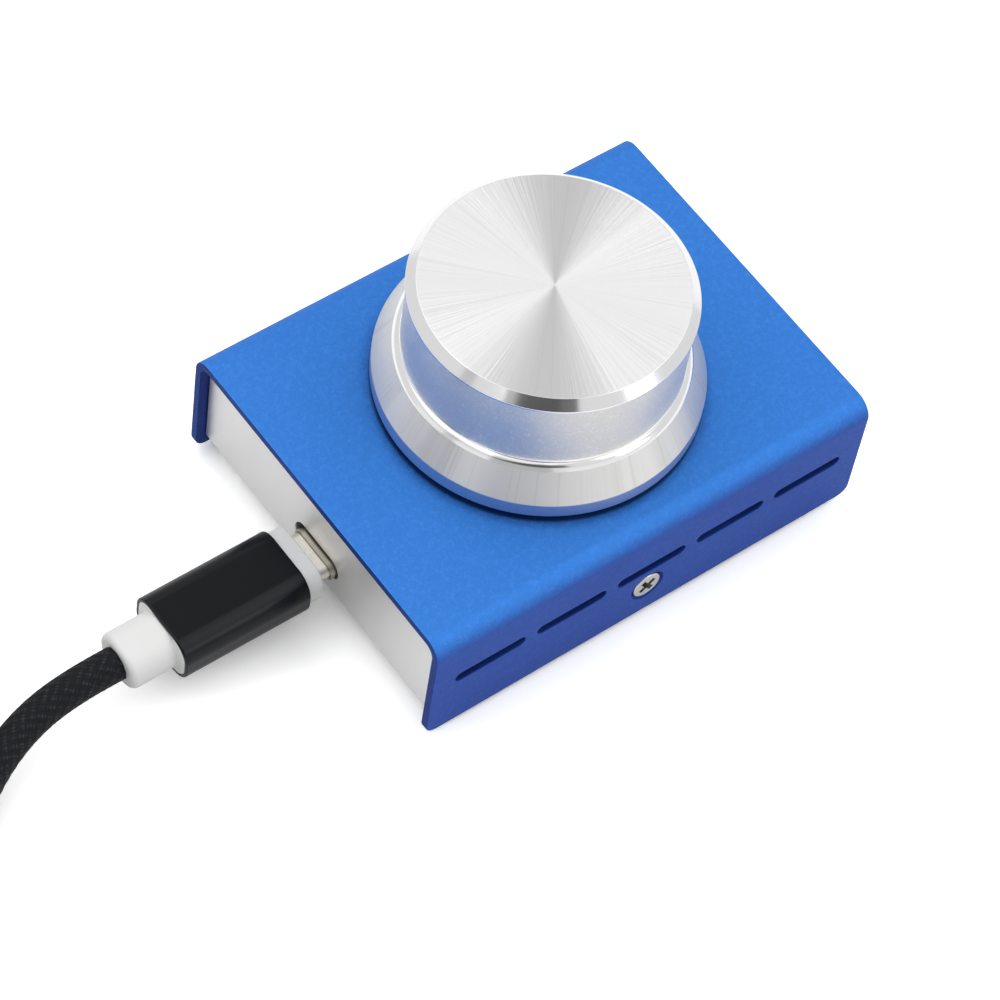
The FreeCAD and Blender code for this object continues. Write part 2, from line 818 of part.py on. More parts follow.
def make_receptacle_tongue():
    """Moulded block and tongue inside the receptacle."""
    body = new_body("usb_receptacle_tongue")
    block = sketch(body, "tongue_block", "YZ_Plane", "tongue_base")
    play = "2 * (receptacle_wall + tip_play)"
    stadium(block, f"receptacle_width - {play}", f"receptacle_height - {play}", "0", "port_level")
    pad(body, block, "receptacle_block")
    tongue = sketch(body, "tongue_outline", "YZ_Plane", "mouth + tongue_setback")
    rectangle(tongue, "tongue_width", "tongue_thickness", "0", "port_level")
    pad(body, tongue, "tongue_base - mouth - tongue_setback")
    return node(body, "usb_receptacle_tongue")


def make_receptacle_contacts():
    """Contact strips on the tongue and their solder tails behind the shell."""
    strips = []
    width, sheet = number("contact_width"), number("contact_sheet")
    tongue_tip = number("mouth + tongue_setback + contact_setback")
    strip_length = number("tongue_base") - tongue_tip
    strip_level = number("port_level + tongue_thickness / 2")
    tail_start, tail_length = number("receptacle_back"), number("contact_tail")
    for index in range(int(number("contact_count"))):
        y = (index - number("(contact_count - 1) / 2")) * number("contact_pitch") - width / 2
        strip = Part.makeBox(strip_length, width, sheet, FreeCAD.Vector(tongue_tip, y, strip_level))
        corner = FreeCAD.Vector(tail_start, y, number("board_top"))
        strips += [strip, Part.makeBox(tail_length, width, 2 * sheet, corner)]
    return shape_node("usb_receptacle_contacts", Part.makeCompound(strips))


def make_encoder_housing():
    """Moulded housing with a stepped bore for the rotor and the switch dome."""
    body = new_body("encoder_housing")
    block = sketch(body, "housing_block", "XY_Plane", "board_top")
    rectangle(block, "housing_side", "housing_side")
    pad(body, block, "housing_height")
    wide = sketch(body, "housing_rotor_bore", "XY_Plane", "frame_seat")
    circle(wide, "rotor_bore")
    pocket(body, wide, "housing_height - housing_ledge")
    deep = sketch(body, "housing_dome_bore", "XY_Plane", "frame_seat")
    circle(deep, "dome_bore")
    pocket(body, deep, "housing_height - housing_floor")
    return node(body, "encoder_housing")


def make_encoder_frame():
    """Sheet frame over the housing: a plate, two legs and two solder lugs."""
    body = new_body("encoder_frame")
    plate = sketch(body, "frame_plate", "XY_Plane", "frame_seat")
    rectangle(plate, "housing_side + 2 * leg_sheet", "frame_depth")
    circle(plate, "bushing_diameter")
    pad(body, plate, "frame_sheet")
    legs = sketch(body, "frame_legs", "XY_Plane", "board_top")
    lugs = sketch(body, "frame_lugs", "XY_Plane", "lead_end")
    for x, y in LUG_SPOTS:
        rectangle(legs, "leg_sheet", "leg_width", x, y)
        rectangle(lugs, "leg_sheet", "lug_width", x, y)
    pad(body, legs, "housing_height")
    pad(body, lugs, "board_top - lead_end")
    return node(body, "encoder_frame")


def make_encoder_bushing():
    """Bushing that guides the shaft, set in the frame's plate."""
    body = new_body("encoder_bushing")
    bore = "shaft_diameter / 2 + bushing_play"
    wide = "bushing_diameter / 2"
    top = "encoder_top + bushing_length"
    turned(body, "bushing_outline", [
        (bore, "frame_seat"),
        (wide, "frame_seat"),
        (wide, f"{top} - bushing_bevel"),
        (f"{wide} - bushing_bevel", top),
        (bore, top),
    ])
    return node(body, "encoder_bushing")


def make_encoder_shaft():
    """Shaft: a flatted end for the knob, a collar under the bushing and a drive section through the rotor."""
    body = new_body("encoder_shaft")
    edge, collar = "shaft_diameter / 2", "collar_diameter / 2"
    turned(body, "shaft_outline", [
        ("0", "collar_bottom"),
        (collar, "collar_bottom"),
        (collar, "collar_top"),
        (edge, "collar_top"),
        (edge, "shaft_top - shaft_bevel"),
        (f"{edge} - shaft_bevel", "shaft_top"),
        ("0", "shaft_top"),
    ])
    drive = sketch(body, "drive_plan", "XY_Plane", "dome_top + dome_play")
    double_flat(drive, "drive_diameter", "drive_flats")
    pad(body, drive, "collar_bottom - dome_top - dome_play")
    flat = sketch(body, "shaft_flat_plan", "XY_Plane", "shaft_top")
    waste = "(2 * (shaft_diameter - shaft_flat))"
    rectangle(flat, "2 * shaft_diameter", waste, "0", f"flat_plane + {waste} / 2")
    pocket(body, flat, "shaft_flat_length")
    return node(body, "encoder_shaft")


def make_encoder_rotor():
    """Code wheel turned by the shaft's flats, which slide in it when the knob is pressed."""
    body = new_body("encoder_rotor")
    disc = sketch(body, "rotor_plan", "XY_Plane", "rotor_seat")
    circle(disc, "rotor_diameter")
    pad(body, disc, "rotor_thickness")
    bore = sketch(body, "rotor_drive_plan", "XY_Plane", "rotor_top")
    double_flat(bore, "drive_diameter + 2 * drive_play", "drive_flats + 2 * drive_play")
    pocket(body, bore)
    return node(body, "encoder_rotor")


def make_switch_dome():
    """Snap dome under the shaft that clicks when the knob is pressed."""
    body = new_body("switch_dome")
    rim, crown = "dome_diameter / 2", "dome_crown / 2"
    turned(body, "dome_outline", [
        ("0", "dome_top"),
        (crown, "dome_top"),
        (f"{rim} - dome_rim", "dome_seat + dome_sheet"),
        (rim, "dome_seat + dome_sheet"),
        (rim, "dome_seat"),
        (f"{rim} - dome_rim", "dome_seat"),
        (crown, "dome_top - dome_sheet"),
        ("0", "dome_top - dome_sheet"),
    ])
    return node(body, "switch_dome")


def make_encoder_pins():
    """Five pins down the housing's sides and through the board."""
    width, sheet = number("pin_width"), number("pin_sheet")
    low, high = number("lead_end"), number("board_top + pin_rise")
    pins = []
    for x, y in PIN_SPOTS:
        corner = FreeCAD.Vector(number(x) - width / 2, number(y) - sheet / 2, low)
        pins.append(Part.makeBox(width, sheet, high - low, corner))
    return shape_node("encoder_pins", Part.makeCompound(pins))


def make_microcontroller():
    """Moulded chip package that reads the encoder and speaks USB."""
    body = new_body("microcontroller")
    plan = sketch(body, "controller_plan", "XY_Plane", "board_top + controller_lead_sheet / 2")
    rectangle(plan, "controller_width", "controller_length", "controller_x", "0")
    block = pad(body, plan, "controller_height")
    top = number("board_top + controller_lead_sheet / 2 + controller_height")
    rim = edges_where(block, lambda box: at(box.ZMin, top) and at(box.ZMax, top))
    bevel = body.newObject("PartDesign::Chamfer", "controller_bevel")
    bevel.Base = (block, rim)
    bind(bevel, Size="controller_bevel")
    return node(body, "microcontroller")


def make_controller_leads():
    """Gull-wing leads down both long sides of the chip package."""
    sheet, width = number("controller_lead_sheet"), number("controller_lead_width")
    inner, outer = number("controller_width / 2"), number("controller_span / 2")
    low, high = number("board_top"), number("board_top + controller_height / 2")
    knee = inner + number("controller_shoulder")
    outline = [
        (inner, high),
        (knee + sheet, high),
        (knee + sheet, low + sheet),
        (outer, low + sheet),
        (outer, low),
        (knee, low),
        (knee, high - sheet),
        (inner, high - sheet),
    ]
    leads = []
    count = int(number("controller_leads"))
    for side in (-1, 1):
        for index in range(count):
            y = (index - (count - 1) / 2) * number("controller_pitch") - width / 2
            points = [FreeCAD.Vector(number("controller_x") + side * x, y, z) for x, z in outline]
            face = Part.Face(Part.makePolygon(points + points[:1]))
            leads.append(face.extrude(FreeCAD.Vector(0, width, 0)))
    return shape_node("controller_leads", Part.makeCompound(leads))


CAPACITOR_SPOTS = [
    ("controller_x", "controller_length / 2 + chip_gap"),
    ("controller_x", "-controller_length / 2 - chip_gap"),
    ("receptacle_back + 2 * chip_gap", "receptacle_width / 2 + chip_gap"),
    ("receptacle_back + 2 * chip_gap", "-receptacle_width / 2 - chip_gap"),
]
RESISTOR_SPOTS = [
    ("receptacle_back + 3 * chip_gap", "chip_gap"),
    ("receptacle_back + 3 * chip_gap", "-chip_gap"),
    ("controller_x - controller_span / 2 - chip_gap", "controller_length / 2 + chip_gap"),
    ("controller_x - controller_span / 2 - chip_gap", "-controller_length / 2 - chip_gap"),
]


def make_chips(name, spots, height):
    """Small chip parts standing on the board at the given spots."""
    chips = []
    length, width, tall = number("chip_length"), number("chip_width"), number(height)
    for x, y in spots:
        corner = FreeCAD.Vector(number(x) - length / 2, number(y) - width / 2, number("board_top"))
        chips.append(Part.makeBox(length, width, tall, corner))
    return shape_node(name, Part.makeCompound(chips))


# ---------------------------------------------------------------- knob


def make_knob():
    """Turned knob: face, crown, blasted wall, ring, cone and lip, hollow below round a bored hub."""
    body = new_body("knob")
    face, crown, wall = "knob_face / 2", "knob_crown / 2", "knob_wall / 2"
    ring, skirt, hollow = "knob_ring / 2", "knob_skirt / 2", "knob_hollow / 2"
    hub, bore = "hub_diameter / 2", "shaft_diameter / 2 + bore_play"
    cone_top = "lip_height + cone_height"
    wall_foot = f"{cone_top} + ring_height"
    wall_head = f"{wall_foot} + wall_height"
    land_top = f"{wall_head} + crown_land"
    solid = turned(body, "knob_outline", [
        ("0", "bore_depth"),
        (bore, "bore_depth"),
        (bore, "hub_lift"),
        (hub, "hub_lift"),
        (hub, "hollow_depth"),
        (hollow, "hollow_depth"),
        (hollow, "0"),
        (skirt, "0"),
        (skirt, "lip_height"),
        (ring, cone_top),
        (wall, wall_foot),
        (wall, wall_head),
        (crown, wall_head),
        (crown, land_top),
        (face, "knob_height"),
        ("0", "knob_height"),
    ])

    def ring_edge(radius, level):
        """Names of the round edges of one radius at one height."""
        wide, height = number(radius), number(level)
        return edges_where(
            body, lambda box: at(box.ZMin, height) and at(box.ZMax, height) and at(box.XMax, wide))

    root = fillet(body, solid, ring_edge(wall, wall_foot), "root_fillet")
    fine = ring_edge(skirt, "lip_height") + ring_edge(skirt, "0") + ring_edge(ring, cone_top)
    fine += ring_edge(face, "knob_height") + ring_edge(crown, land_top)
    fillet(body, root, fine, "edge_fillet")
    spot = sketch(body, "set_screw_spot", "XZ_Plane")
    circle(spot, "set_screw_thread + thread_play", "0", "set_screw_rise")
    pocket(body, spot)
    place(body, z="knob_bottom")
    return node(body, "knob")


def make_set_screw():
    """Socket set screw that clamps the knob on the shaft's flat."""
    body = new_body("knob_set_screw")
    edge = "set_screw_thread / 2"
    turned(body, "set_screw_outline", [
        ("0", "0"),
        (f"{edge} - set_screw_bevel", "0"),
        (edge, "set_screw_bevel"),
        (edge, "set_screw_length"),
        ("0", "set_screw_length"),
    ])
    socket = sketch(body, "set_screw_hexagon", "XY_Plane", "set_screw_length")
    reach = "set_screw_socket / sqrt(3)"
    polygon(socket, [(f"{reach} * cos({60 * i})", f"{reach} * sin({60 * i})") for i in range(6)])
    pocket(body, socket, "set_screw_socket_depth")
    turn = FreeCAD.Rotation(FreeCAD.Vector(1, 0, 0), -90)
    body.Placement = FreeCAD.Placement(FreeCAD.Vector(), turn)
    place(body, "0", "flat_plane + set_screw_play", "set_screw_level")
    return node(body, "knob_set_screw")


# ---------------------------------------------------------------- plugs


def make_plug_tip():
    """Metal tip of the case-end plug, held in the moulding and entering the receptacle."""
    body = new_body("plug_tip")
    ring = sketch(body, "tip_ring", "YZ_Plane", "collar_face - tip_root")
    stadium(ring, "tip_width", "tip_height", "0", "port_level")
    stadium(ring, "tip_width - 2 * tip_wall", "tip_height - 2 * tip_wall", "0", "port_level")
    pad(body, ring, "tip_root + tip_length")
    return node(body, "plug_tip")


def make_plug_insert():
    """Plastic insert of the tip with the slot that takes the receptacle's tongue."""
    body = new_body("plug_insert")
    core = sketch(body, "insert_core", "YZ_Plane", "collar_face - tip_root")
    play = "2 * (tip_wall + tip_play)"
    stadium(core, f"tip_width - {play}", f"tip_height - {play}", "0", "port_level")
    pad(body, core, "tip_root + tip_length - insert_setback")
    slot = sketch(body, "insert_slot", "YZ_Plane", "collar_face + tip_length")
    rectangle(slot, "tip_slot_width", "tip_slot_height", "0", "port_level")
    pocket(body, slot, "tip_slot_depth + insert_setback")
    return node(body, "plug_insert")


def make_plug_mould():
    """White moulding through the sleeve: the collar in front and the strain relief behind."""
    body = new_body("plug_mould")
    core = sketch(body, "mould_core", "YZ_Plane", "sleeve_back")
    play = "2 * (sleeve_wall + tip_play)"
    corner = "sleeve_corner - sleeve_wall - tip_play"
    rounded_outline(core, f"sleeve_width - {play}", f"sleeve_height - {play}", corner, "0", "port_level")
    pad(body, core, "sleeve_length + plug_collar")
    relief = sketch(body, "relief_outline", "YZ_Plane", "relief_end")
    stadium(relief, "relief_width", "relief_height", "0", "port_level")
    back = pad(body, relief, "relief_length")
    end = number("relief_end")
    rim = edges_where(back, lambda box: at(box.XMin, end) and at(box.XMax, end))
    fillet(body, back, rim, "relief_round")
    seat = sketch(body, "tip_seat", "YZ_Plane", "collar_face")
    stadium(seat, "tip_width + 2 * tip_play", "tip_height + 2 * tip_play", "0", "port_level")
    pocket(body, seat, "tip_root")
    return node(body, "plug_mould")


def sleeve_tube(body, name, start, length, sizes, level):
    """A straight sleeve along X with softened outer rims; sizes are width, height, corner and wall."""
    width, height, corner, wall = sizes
    outline = sketch(body, f"{name}_outline", "YZ_Plane", start)
    rounded_outline(outline, width, height, corner, "0", level)
    block = pad(body, outline, length)
    ends = (number(start), number(f"{start} + {length}"))
    rims = edges_where(block, lambda box: at(box.XMin, *ends) and at(box.XMax, *ends))
    fillet(body, block, rims, "sleeve_edge")
    hollow = sketch(body, f"{name}_hollow", "YZ_Plane", start)
    inner = (f"{width} - 2 * {wall}", f"{height} - 2 * {wall}", f"{corner} - {wall}")
    rounded_outline(hollow, *inner, "0", level)
    pocket(body, hollow, reverse=True)


def make_plug_sleeve():
    """Anodised sleeve round the moulding."""
    body = new_body("plug_sleeve")
    sizes = ("sleeve_width", "sleeve_height", "sleeve_corner", "sleeve_wall")
    sleeve_tube(body, "sleeve", "sleeve_back", "sleeve_length", sizes, "port_level")
    return node(body, "plug_sleeve")


def host_placement():
    """Where the computer-end plug lies: on from the tail's last point, level with the surface."""
    start, stop = (FreeCAD.Vector(*point) for point in TAIL_ROUTE[-2:])
    run = FreeCAD.Vector(stop.x - start.x, stop.y - start.y, 0)
    heading = math.degrees(math.atan2(run.y, run.x))
    base = FreeCAD.Vector(stop.x, stop.y, 0)
    return FreeCAD.Placement(base, FreeCAD.Rotation(FreeCAD.Vector(0, 0, 1), heading))


def make_host_mould():
    """Moulding of the computer-end plug, in its own frame: strain relief from X = 0, then the core."""
    body = new_body("host_mould")
    relief = sketch(body, "host_relief", "YZ_Plane")
    stadium(relief, "relief_width", "relief_height", "0", "host_level")
    back = pad(body, relief, "relief_length")
    rim = edges_where(back, lambda box: at(box.XMin, 0) and at(box.XMax, 0))
    fillet(body, back, rim, "relief_round")
    core = sketch(body, "host_core", "YZ_Plane", "relief_length")
    play = "2 * (host_wall + tip_play)"
    corner = "host_corner - host_wall - tip_play"
    rounded_outline(core, f"host_width - {play}", f"host_height - {play}", corner, "0", "host_level")
    pad(body, core, "host_sleeve_length + host_collar")
    seat = sketch(body, "host_seat", "YZ_Plane", "relief_length + host_sleeve_length + host_collar")
    play = "2 * tip_play"
    rectangle(seat, f"host_shell_width + {play}", f"host_shell_height + {play}", "0", "host_level")
    pocket(body, seat, "host_shell_root")
    body.Placement = host_placement()
    return node(body, "host_mould")


def make_host_sleeve():
    """Sleeve of the computer-end plug."""
    body = new_body("host_sleeve")
    sizes = ("host_width", "host_height", "host_corner", "host_wall")
    sleeve_tube(body, "host_sleeve", "relief_length", "host_sleeve_length", sizes, "host_level")
    body.Placement = host_placement()
    return node(body, "host_sleeve")


def make_host_shell():
    """Metal shell of the USB-A end."""
    body = new_body("host_shell")
    ring = sketch(body, "host_shell_ring", "YZ_Plane", "host_shell_start")
    size = ("host_shell_width", "host_shell_height")
    rounded_outline(ring, *size, "host_shell_corner", "0", "host_level")
    inner = [f"{side} - 2 * host_shell_wall" for side in size]
    rounded_outline(ring, *inner, "host_shell_corner - host_shell_wall", "0", "host_level")
    pad(body, ring, "host_shell_root + host_shell_length")
    body.Placement = host_placement()
    return node(body, "host_shell")


def make_host_insert():
    """Plastic contact carrier of the USB-A end."""
    body = new_body("host_insert")
    block = sketch(body, "host_insert_block", "YZ_Plane", "host_shell_start")
    width = "host_shell_width - 2 * (host_shell_wall + tip_play)"
    level = "host_shell_floor + tip_play + host_insert_height / 2"
    corner = "host_shell_corner - host_shell_wall"
    rounded_outline(block, width, "host_insert_height", corner, "0", level)
    pad(body, block, "host_shell_root + host_shell_length - host_insert_setback")
    body.Placement = host_placement()
    return node(body, "host_insert")


def make_host_contacts():
    """Four contacts on the USB-A carrier."""
    width, length = number("host_contact_width"), number("host_contact_length")
    insert_end = "host_shell_start + host_shell_root + host_shell_length - host_insert_setback"
    end = number(f"{insert_end} - host_contact_setback")
    level = number("host_shell_floor + tip_play + host_insert_height")
    strips = []
    for index in range(int(number("host_contact_count"))):
        y = (index - number("(host_contact_count - 1) / 2")) * number("host_contact_pitch") - width / 2
        corner = FreeCAD.Vector(end - length, y, level)
        strips.append(Part.makeBox(length, width, number("contact_sheet"), corner))
    thing = shape_node("host_contacts", Part.makeCompound(strips))
    thing.Placement = host_placement()
    return thing


# ---------------------------------------------------------------- lead


def rounded_path(points):
    """Straight runs joined by tangent arcs, each as large as its two runs allow."""
    route = [FreeCAD.Vector(*point) for point in points]
    edges = []
    radii = []
    start = route[0]
    for before, corner, after in zip(route, route[1:], route[2:]):
        back = (before - corner).normalize()
        ahead = (after - corner).normalize()
        cut = RUN_SHARE * min((before - corner).Length, (after - corner).Length)
        half_turn = (math.pi - back.getAngle(ahead)) / 2
        radius = cut / math.tan(half_turn)
        bisector = (back + ahead).normalize()
        center = corner + bisector * math.hypot(cut, radius)
        enter, leave = corner + back * cut, corner + ahead * cut
        edges.append(Part.LineSegment(start, enter).toShape())
        edges.append(Part.Arc(enter, center - bisector * radius, leave).toShape())
        radii.append(radius)
        start = leave
    edges.append(Part.LineSegment(start, route[-1]).toShape())
    return Part.Wire(edges), radii


def make_tube(name, points):
    """A plain round tube along a route, with its radii and length printed."""
    path, radii = rounded_path(points)
    start, following = (FreeCAD.Vector(*point) for point in points[:2])
    radius = number("cord_diameter / 2")
    ring = Part.Wire(Part.makeCircle(radius, start, following - start))
    tube = path.makePipeShell([ring], True, False)
    ideal = math.pi * radius ** 2 * path.Length
    print(f"{name}: length {path.Length:.1f} mm, volume {tube.Volume / ideal:.4f} of section times length")
    print(f"{name}: bend radii", ", ".join(f"{one:.1f}" for one in radii))
    return shape_node(name, tube)


def bundle_face(strands, grow):
    """Outline drawn tight round parallel strands of the lead, seen in the XZ plane, grown by a gap.

    Strands are pairs of steps from the coil's middle: across in diameters, and up in rows.
    """
    radius = number("cord_diameter / 2")
    middle, low = number("coil_radius"), number("coil_floor") + radius
    centers = []
    for across, rows in strands:
        x = middle + across * 2 * radius
        centers.append(FreeCAD.Vector(x, 0, low + rows * number("row_step")))
    offsets = []
    for here, there in zip(centers, centers[1:] + centers[:1]):
        run = (there - here).normalize()
        offsets.append(FreeCAD.Vector(run.z, 0, -run.x) * (radius + grow))
    edges = []
    count = len(centers)
    for i, here in enumerate(centers):
        there, offset, turned_offset = centers[(i + 1) % count], offsets[i], offsets[(i + 1) % count]
        edges.append(Part.LineSegment(here + offset, there + offset).toShape())
        halfway = (offset + turned_offset).normalize() * (radius + grow)
        edges.append(Part.Arc(there + offset, there + halfway, there + turned_offset).toShape())
    return Part.Face(Part.Wire(edges))


# Corners of the two full rows of turns, and of the whole bundle where the crown turn lies on them.
FULL_ROWS = [(-1, 0), (1, 0), (0.5, 1), (-0.5, 1)]
WHOLE_BUNDLE = [(-1, 0), (1, 0), (0, 2)]


def make_cord_coil():
    """One closed ring with the outer shape of five wound turns, and the part turn that lies on top.

    The part turn runs back from the tail's first point to where the last full turn climbs onto the others.
    """
    axis, radius = FreeCAD.Vector(0, 0, 1), number("cord_diameter / 2")
    ring = bundle_face(FULL_ROWS, 0).revolve(FreeCAD.Vector(), axis, 360)
    crown_level = number("coil_floor + 2 * row_step") + radius
    start = FreeCAD.Vector(number("coil_radius"), 0, crown_level)
    disc = Part.Face(Part.Wire(Part.makeCircle(radius, start, FreeCAD.Vector(0, 1, 0))))
    crown = disc.revolve(FreeCAD.Vector(), axis, number("coil_crown_turn"))
    far_end = FreeCAD.Rotation(axis, number("coil_crown_turn")).multVec(start)
    crown = crown.fuse(Part.makeSphere(radius, far_end))
    crown.rotate(FreeCAD.Vector(), axis, number("coil_crown_start"))
    thing = shape_node("cord_coil", ring.fuse(crown).removeSplitter())
    thing.Placement.Base = FreeCAD.Vector(number("coil_x"), number("coil_y"), 0)
    return thing


def make_cord_tie():
    """Strap round the wound turns at one place."""
    band = bundle_face(WHOLE_BUNDLE, number("tie_play + tie_sheet"))
    hollow = bundle_face(WHOLE_BUNDLE, number("tie_play"))
    turn = number("tie_turn")
    axis = FreeCAD.Vector(0, 0, 1)
    strap = band.revolve(FreeCAD.Vector(), axis, turn).cut(hollow.revolve(FreeCAD.Vector(), axis, turn))
    thing = shape_node("cord_tie", strap)
    spot = FreeCAD.Vector(number("coil_x"), number("coil_y"), 0)
    thing.Placement = FreeCAD.Placement(spot, FreeCAD.Rotation(axis, number("tie_place - tie_turn / 2")))
    return thing


# ---------------------------------------------------------------- whole object


def build():
    """Make every sub-part."""
    fill_sheet()
    make_top_cover()
    make_base_chassis()
    make_rubber_feet()
    make_side_screws()
    make_circuit_board()
    make_board_studs()
    make_board_screws()
    make_receptacle_shell()
    make_receptacle_tongue()
    make_receptacle_contacts()
    make_encoder_housing()
    make_encoder_frame()
    make_encoder_bushing()
    make_encoder_shaft()
    make_encoder_rotor()
    make_switch_dome()
    make_encoder_pins()
    make_microcontroller()
    make_controller_leads()
    make_chips("chip_capacitors", CAPACITOR_SPOTS, "capacitor_height")
    make_chips("chip_resistors", RESISTOR_SPOTS, "resistor_height")
    make_knob()
    make_set_screw()
    make_plug_tip()
    make_plug_insert()
    make_plug_mould()
    make_plug_sleeve()
    make_host_mould()
    make_host_sleeve()
    make_host_shell()
    make_host_insert()
    make_host_contacts()
    make_tube("cord_lead", LEAD_ROUTE)
    make_cord_coil()
    make_tube("cord_tail", TAIL_ROUTE)
    make_cord_tie()
    DOC.recompute()


def check():
    """Stop if any object failed or any sub-part has no sound shape."""
    for thing in DOC.Objects:
        if "Invalid" in thing.State or "Error" in thing.State:
            raise RuntimeError(f"{thing.Label} failed: {thing.State}")
    for thing in NODES:
        if thing.Shape.isNull() or not thing.Shape.isValid() or not thing.Shape.Solids:
            raise RuntimeError(f"{thing.Label} has no sound shape")


def export():
    """Write each sub-part to a file of its own."""
    os.makedirs("parts", exist_ok=True)
    for thing in NODES:
        thing.Shape.exportStep(f"parts/{thing.Label}.step")
        print(f"{thing.Label}: {len(thing.Shape.Solids)} solids, {thing.Shape.Volume:.1f} mm3")


build()
check()
export()
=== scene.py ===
"""Desk volume control: a turned knob that turns and presses on a folded metal case, with a braided lead.

Metres, +Z up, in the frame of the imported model. Lengths written in millimetres are turned into metres by MM.
"""
import logging
import math
from dataclasses import dataclass, field
from enum import Enum, IntEnum
from typing import Any, Sequence, Union

import bmesh
import bpy
from mathutils import Matrix, Vector


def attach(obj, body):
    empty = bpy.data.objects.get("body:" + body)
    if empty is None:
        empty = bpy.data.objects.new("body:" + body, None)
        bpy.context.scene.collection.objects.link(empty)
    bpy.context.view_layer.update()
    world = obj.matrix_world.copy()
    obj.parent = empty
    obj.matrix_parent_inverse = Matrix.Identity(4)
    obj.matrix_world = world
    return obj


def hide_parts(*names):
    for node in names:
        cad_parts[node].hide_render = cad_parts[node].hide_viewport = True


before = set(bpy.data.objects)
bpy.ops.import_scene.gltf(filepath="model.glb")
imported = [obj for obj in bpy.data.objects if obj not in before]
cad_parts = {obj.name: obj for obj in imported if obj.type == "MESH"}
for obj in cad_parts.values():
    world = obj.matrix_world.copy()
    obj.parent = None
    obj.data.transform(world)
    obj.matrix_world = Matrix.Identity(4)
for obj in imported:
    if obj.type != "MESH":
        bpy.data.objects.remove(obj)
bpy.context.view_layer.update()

MM = 0.001
# Signs of a rectangle's corners, in order round it.
ROUND = ((1, -1), (1, 1), (-1, 1), (-1, -1))
LOG = logging.getLogger("volume_knob")

Piece = bpy.types.Object
Point2 = tuple[float, float]
Point3 = tuple[float, float, float]
Colour = Point3
Section = tuple[float, float, float, float]
Value = Union["Sock", float, Sequence[float]]


# ---------------------------------------------------------------- shader maths


class Sock:
    """One output of a shader graph, which takes part in Python arithmetic."""

    def __init__(self, graph: "Graph", socket: bpy.types.NodeSocket) -> None:
        """Wrap a socket of a graph."""
        self.graph = graph
        self.socket = socket

    def __add__(self, other: Value) -> "Sock":
        """Sum."""
        return self.graph.math("ADD", self, other)

    def __sub__(self, other: Value) -> "Sock":
        """Difference."""
        return self.graph.math("SUBTRACT", self, other)

    def __rsub__(self, other: Value) -> "Sock":
        """Difference from a number."""
        return self.graph.math("SUBTRACT", other, self)

    def __mul__(self, other: Value) -> "Sock":
        """Product."""
        return self.graph.math("MULTIPLY", self, other)

    def __truediv__(self, other: Value) -> "Sock":
        """Quotient."""
        return self.graph.math("DIVIDE", self, other)

    def __rtruediv__(self, other: Value) -> "Sock":
        """A number divided by this."""
        return self.graph.math("DIVIDE", other, self)

    def __gt__(self, other: Value) -> "Sock":
        """1 where this is greater, otherwise 0."""
        return self.graph.math("GREATER_THAN", self, other)

    def __lt__(self, other: Value) -> "Sock":
        """1 where this is less, otherwise 0."""
        return self.graph.math("LESS_THAN", self, other)

    __radd__ = __add__
    __rmul__ = __mul__

    def of(self, output: str) -> "Sock":
        """Another output of the same node."""
        return Sock(self.graph, self.socket.node.outputs[output])


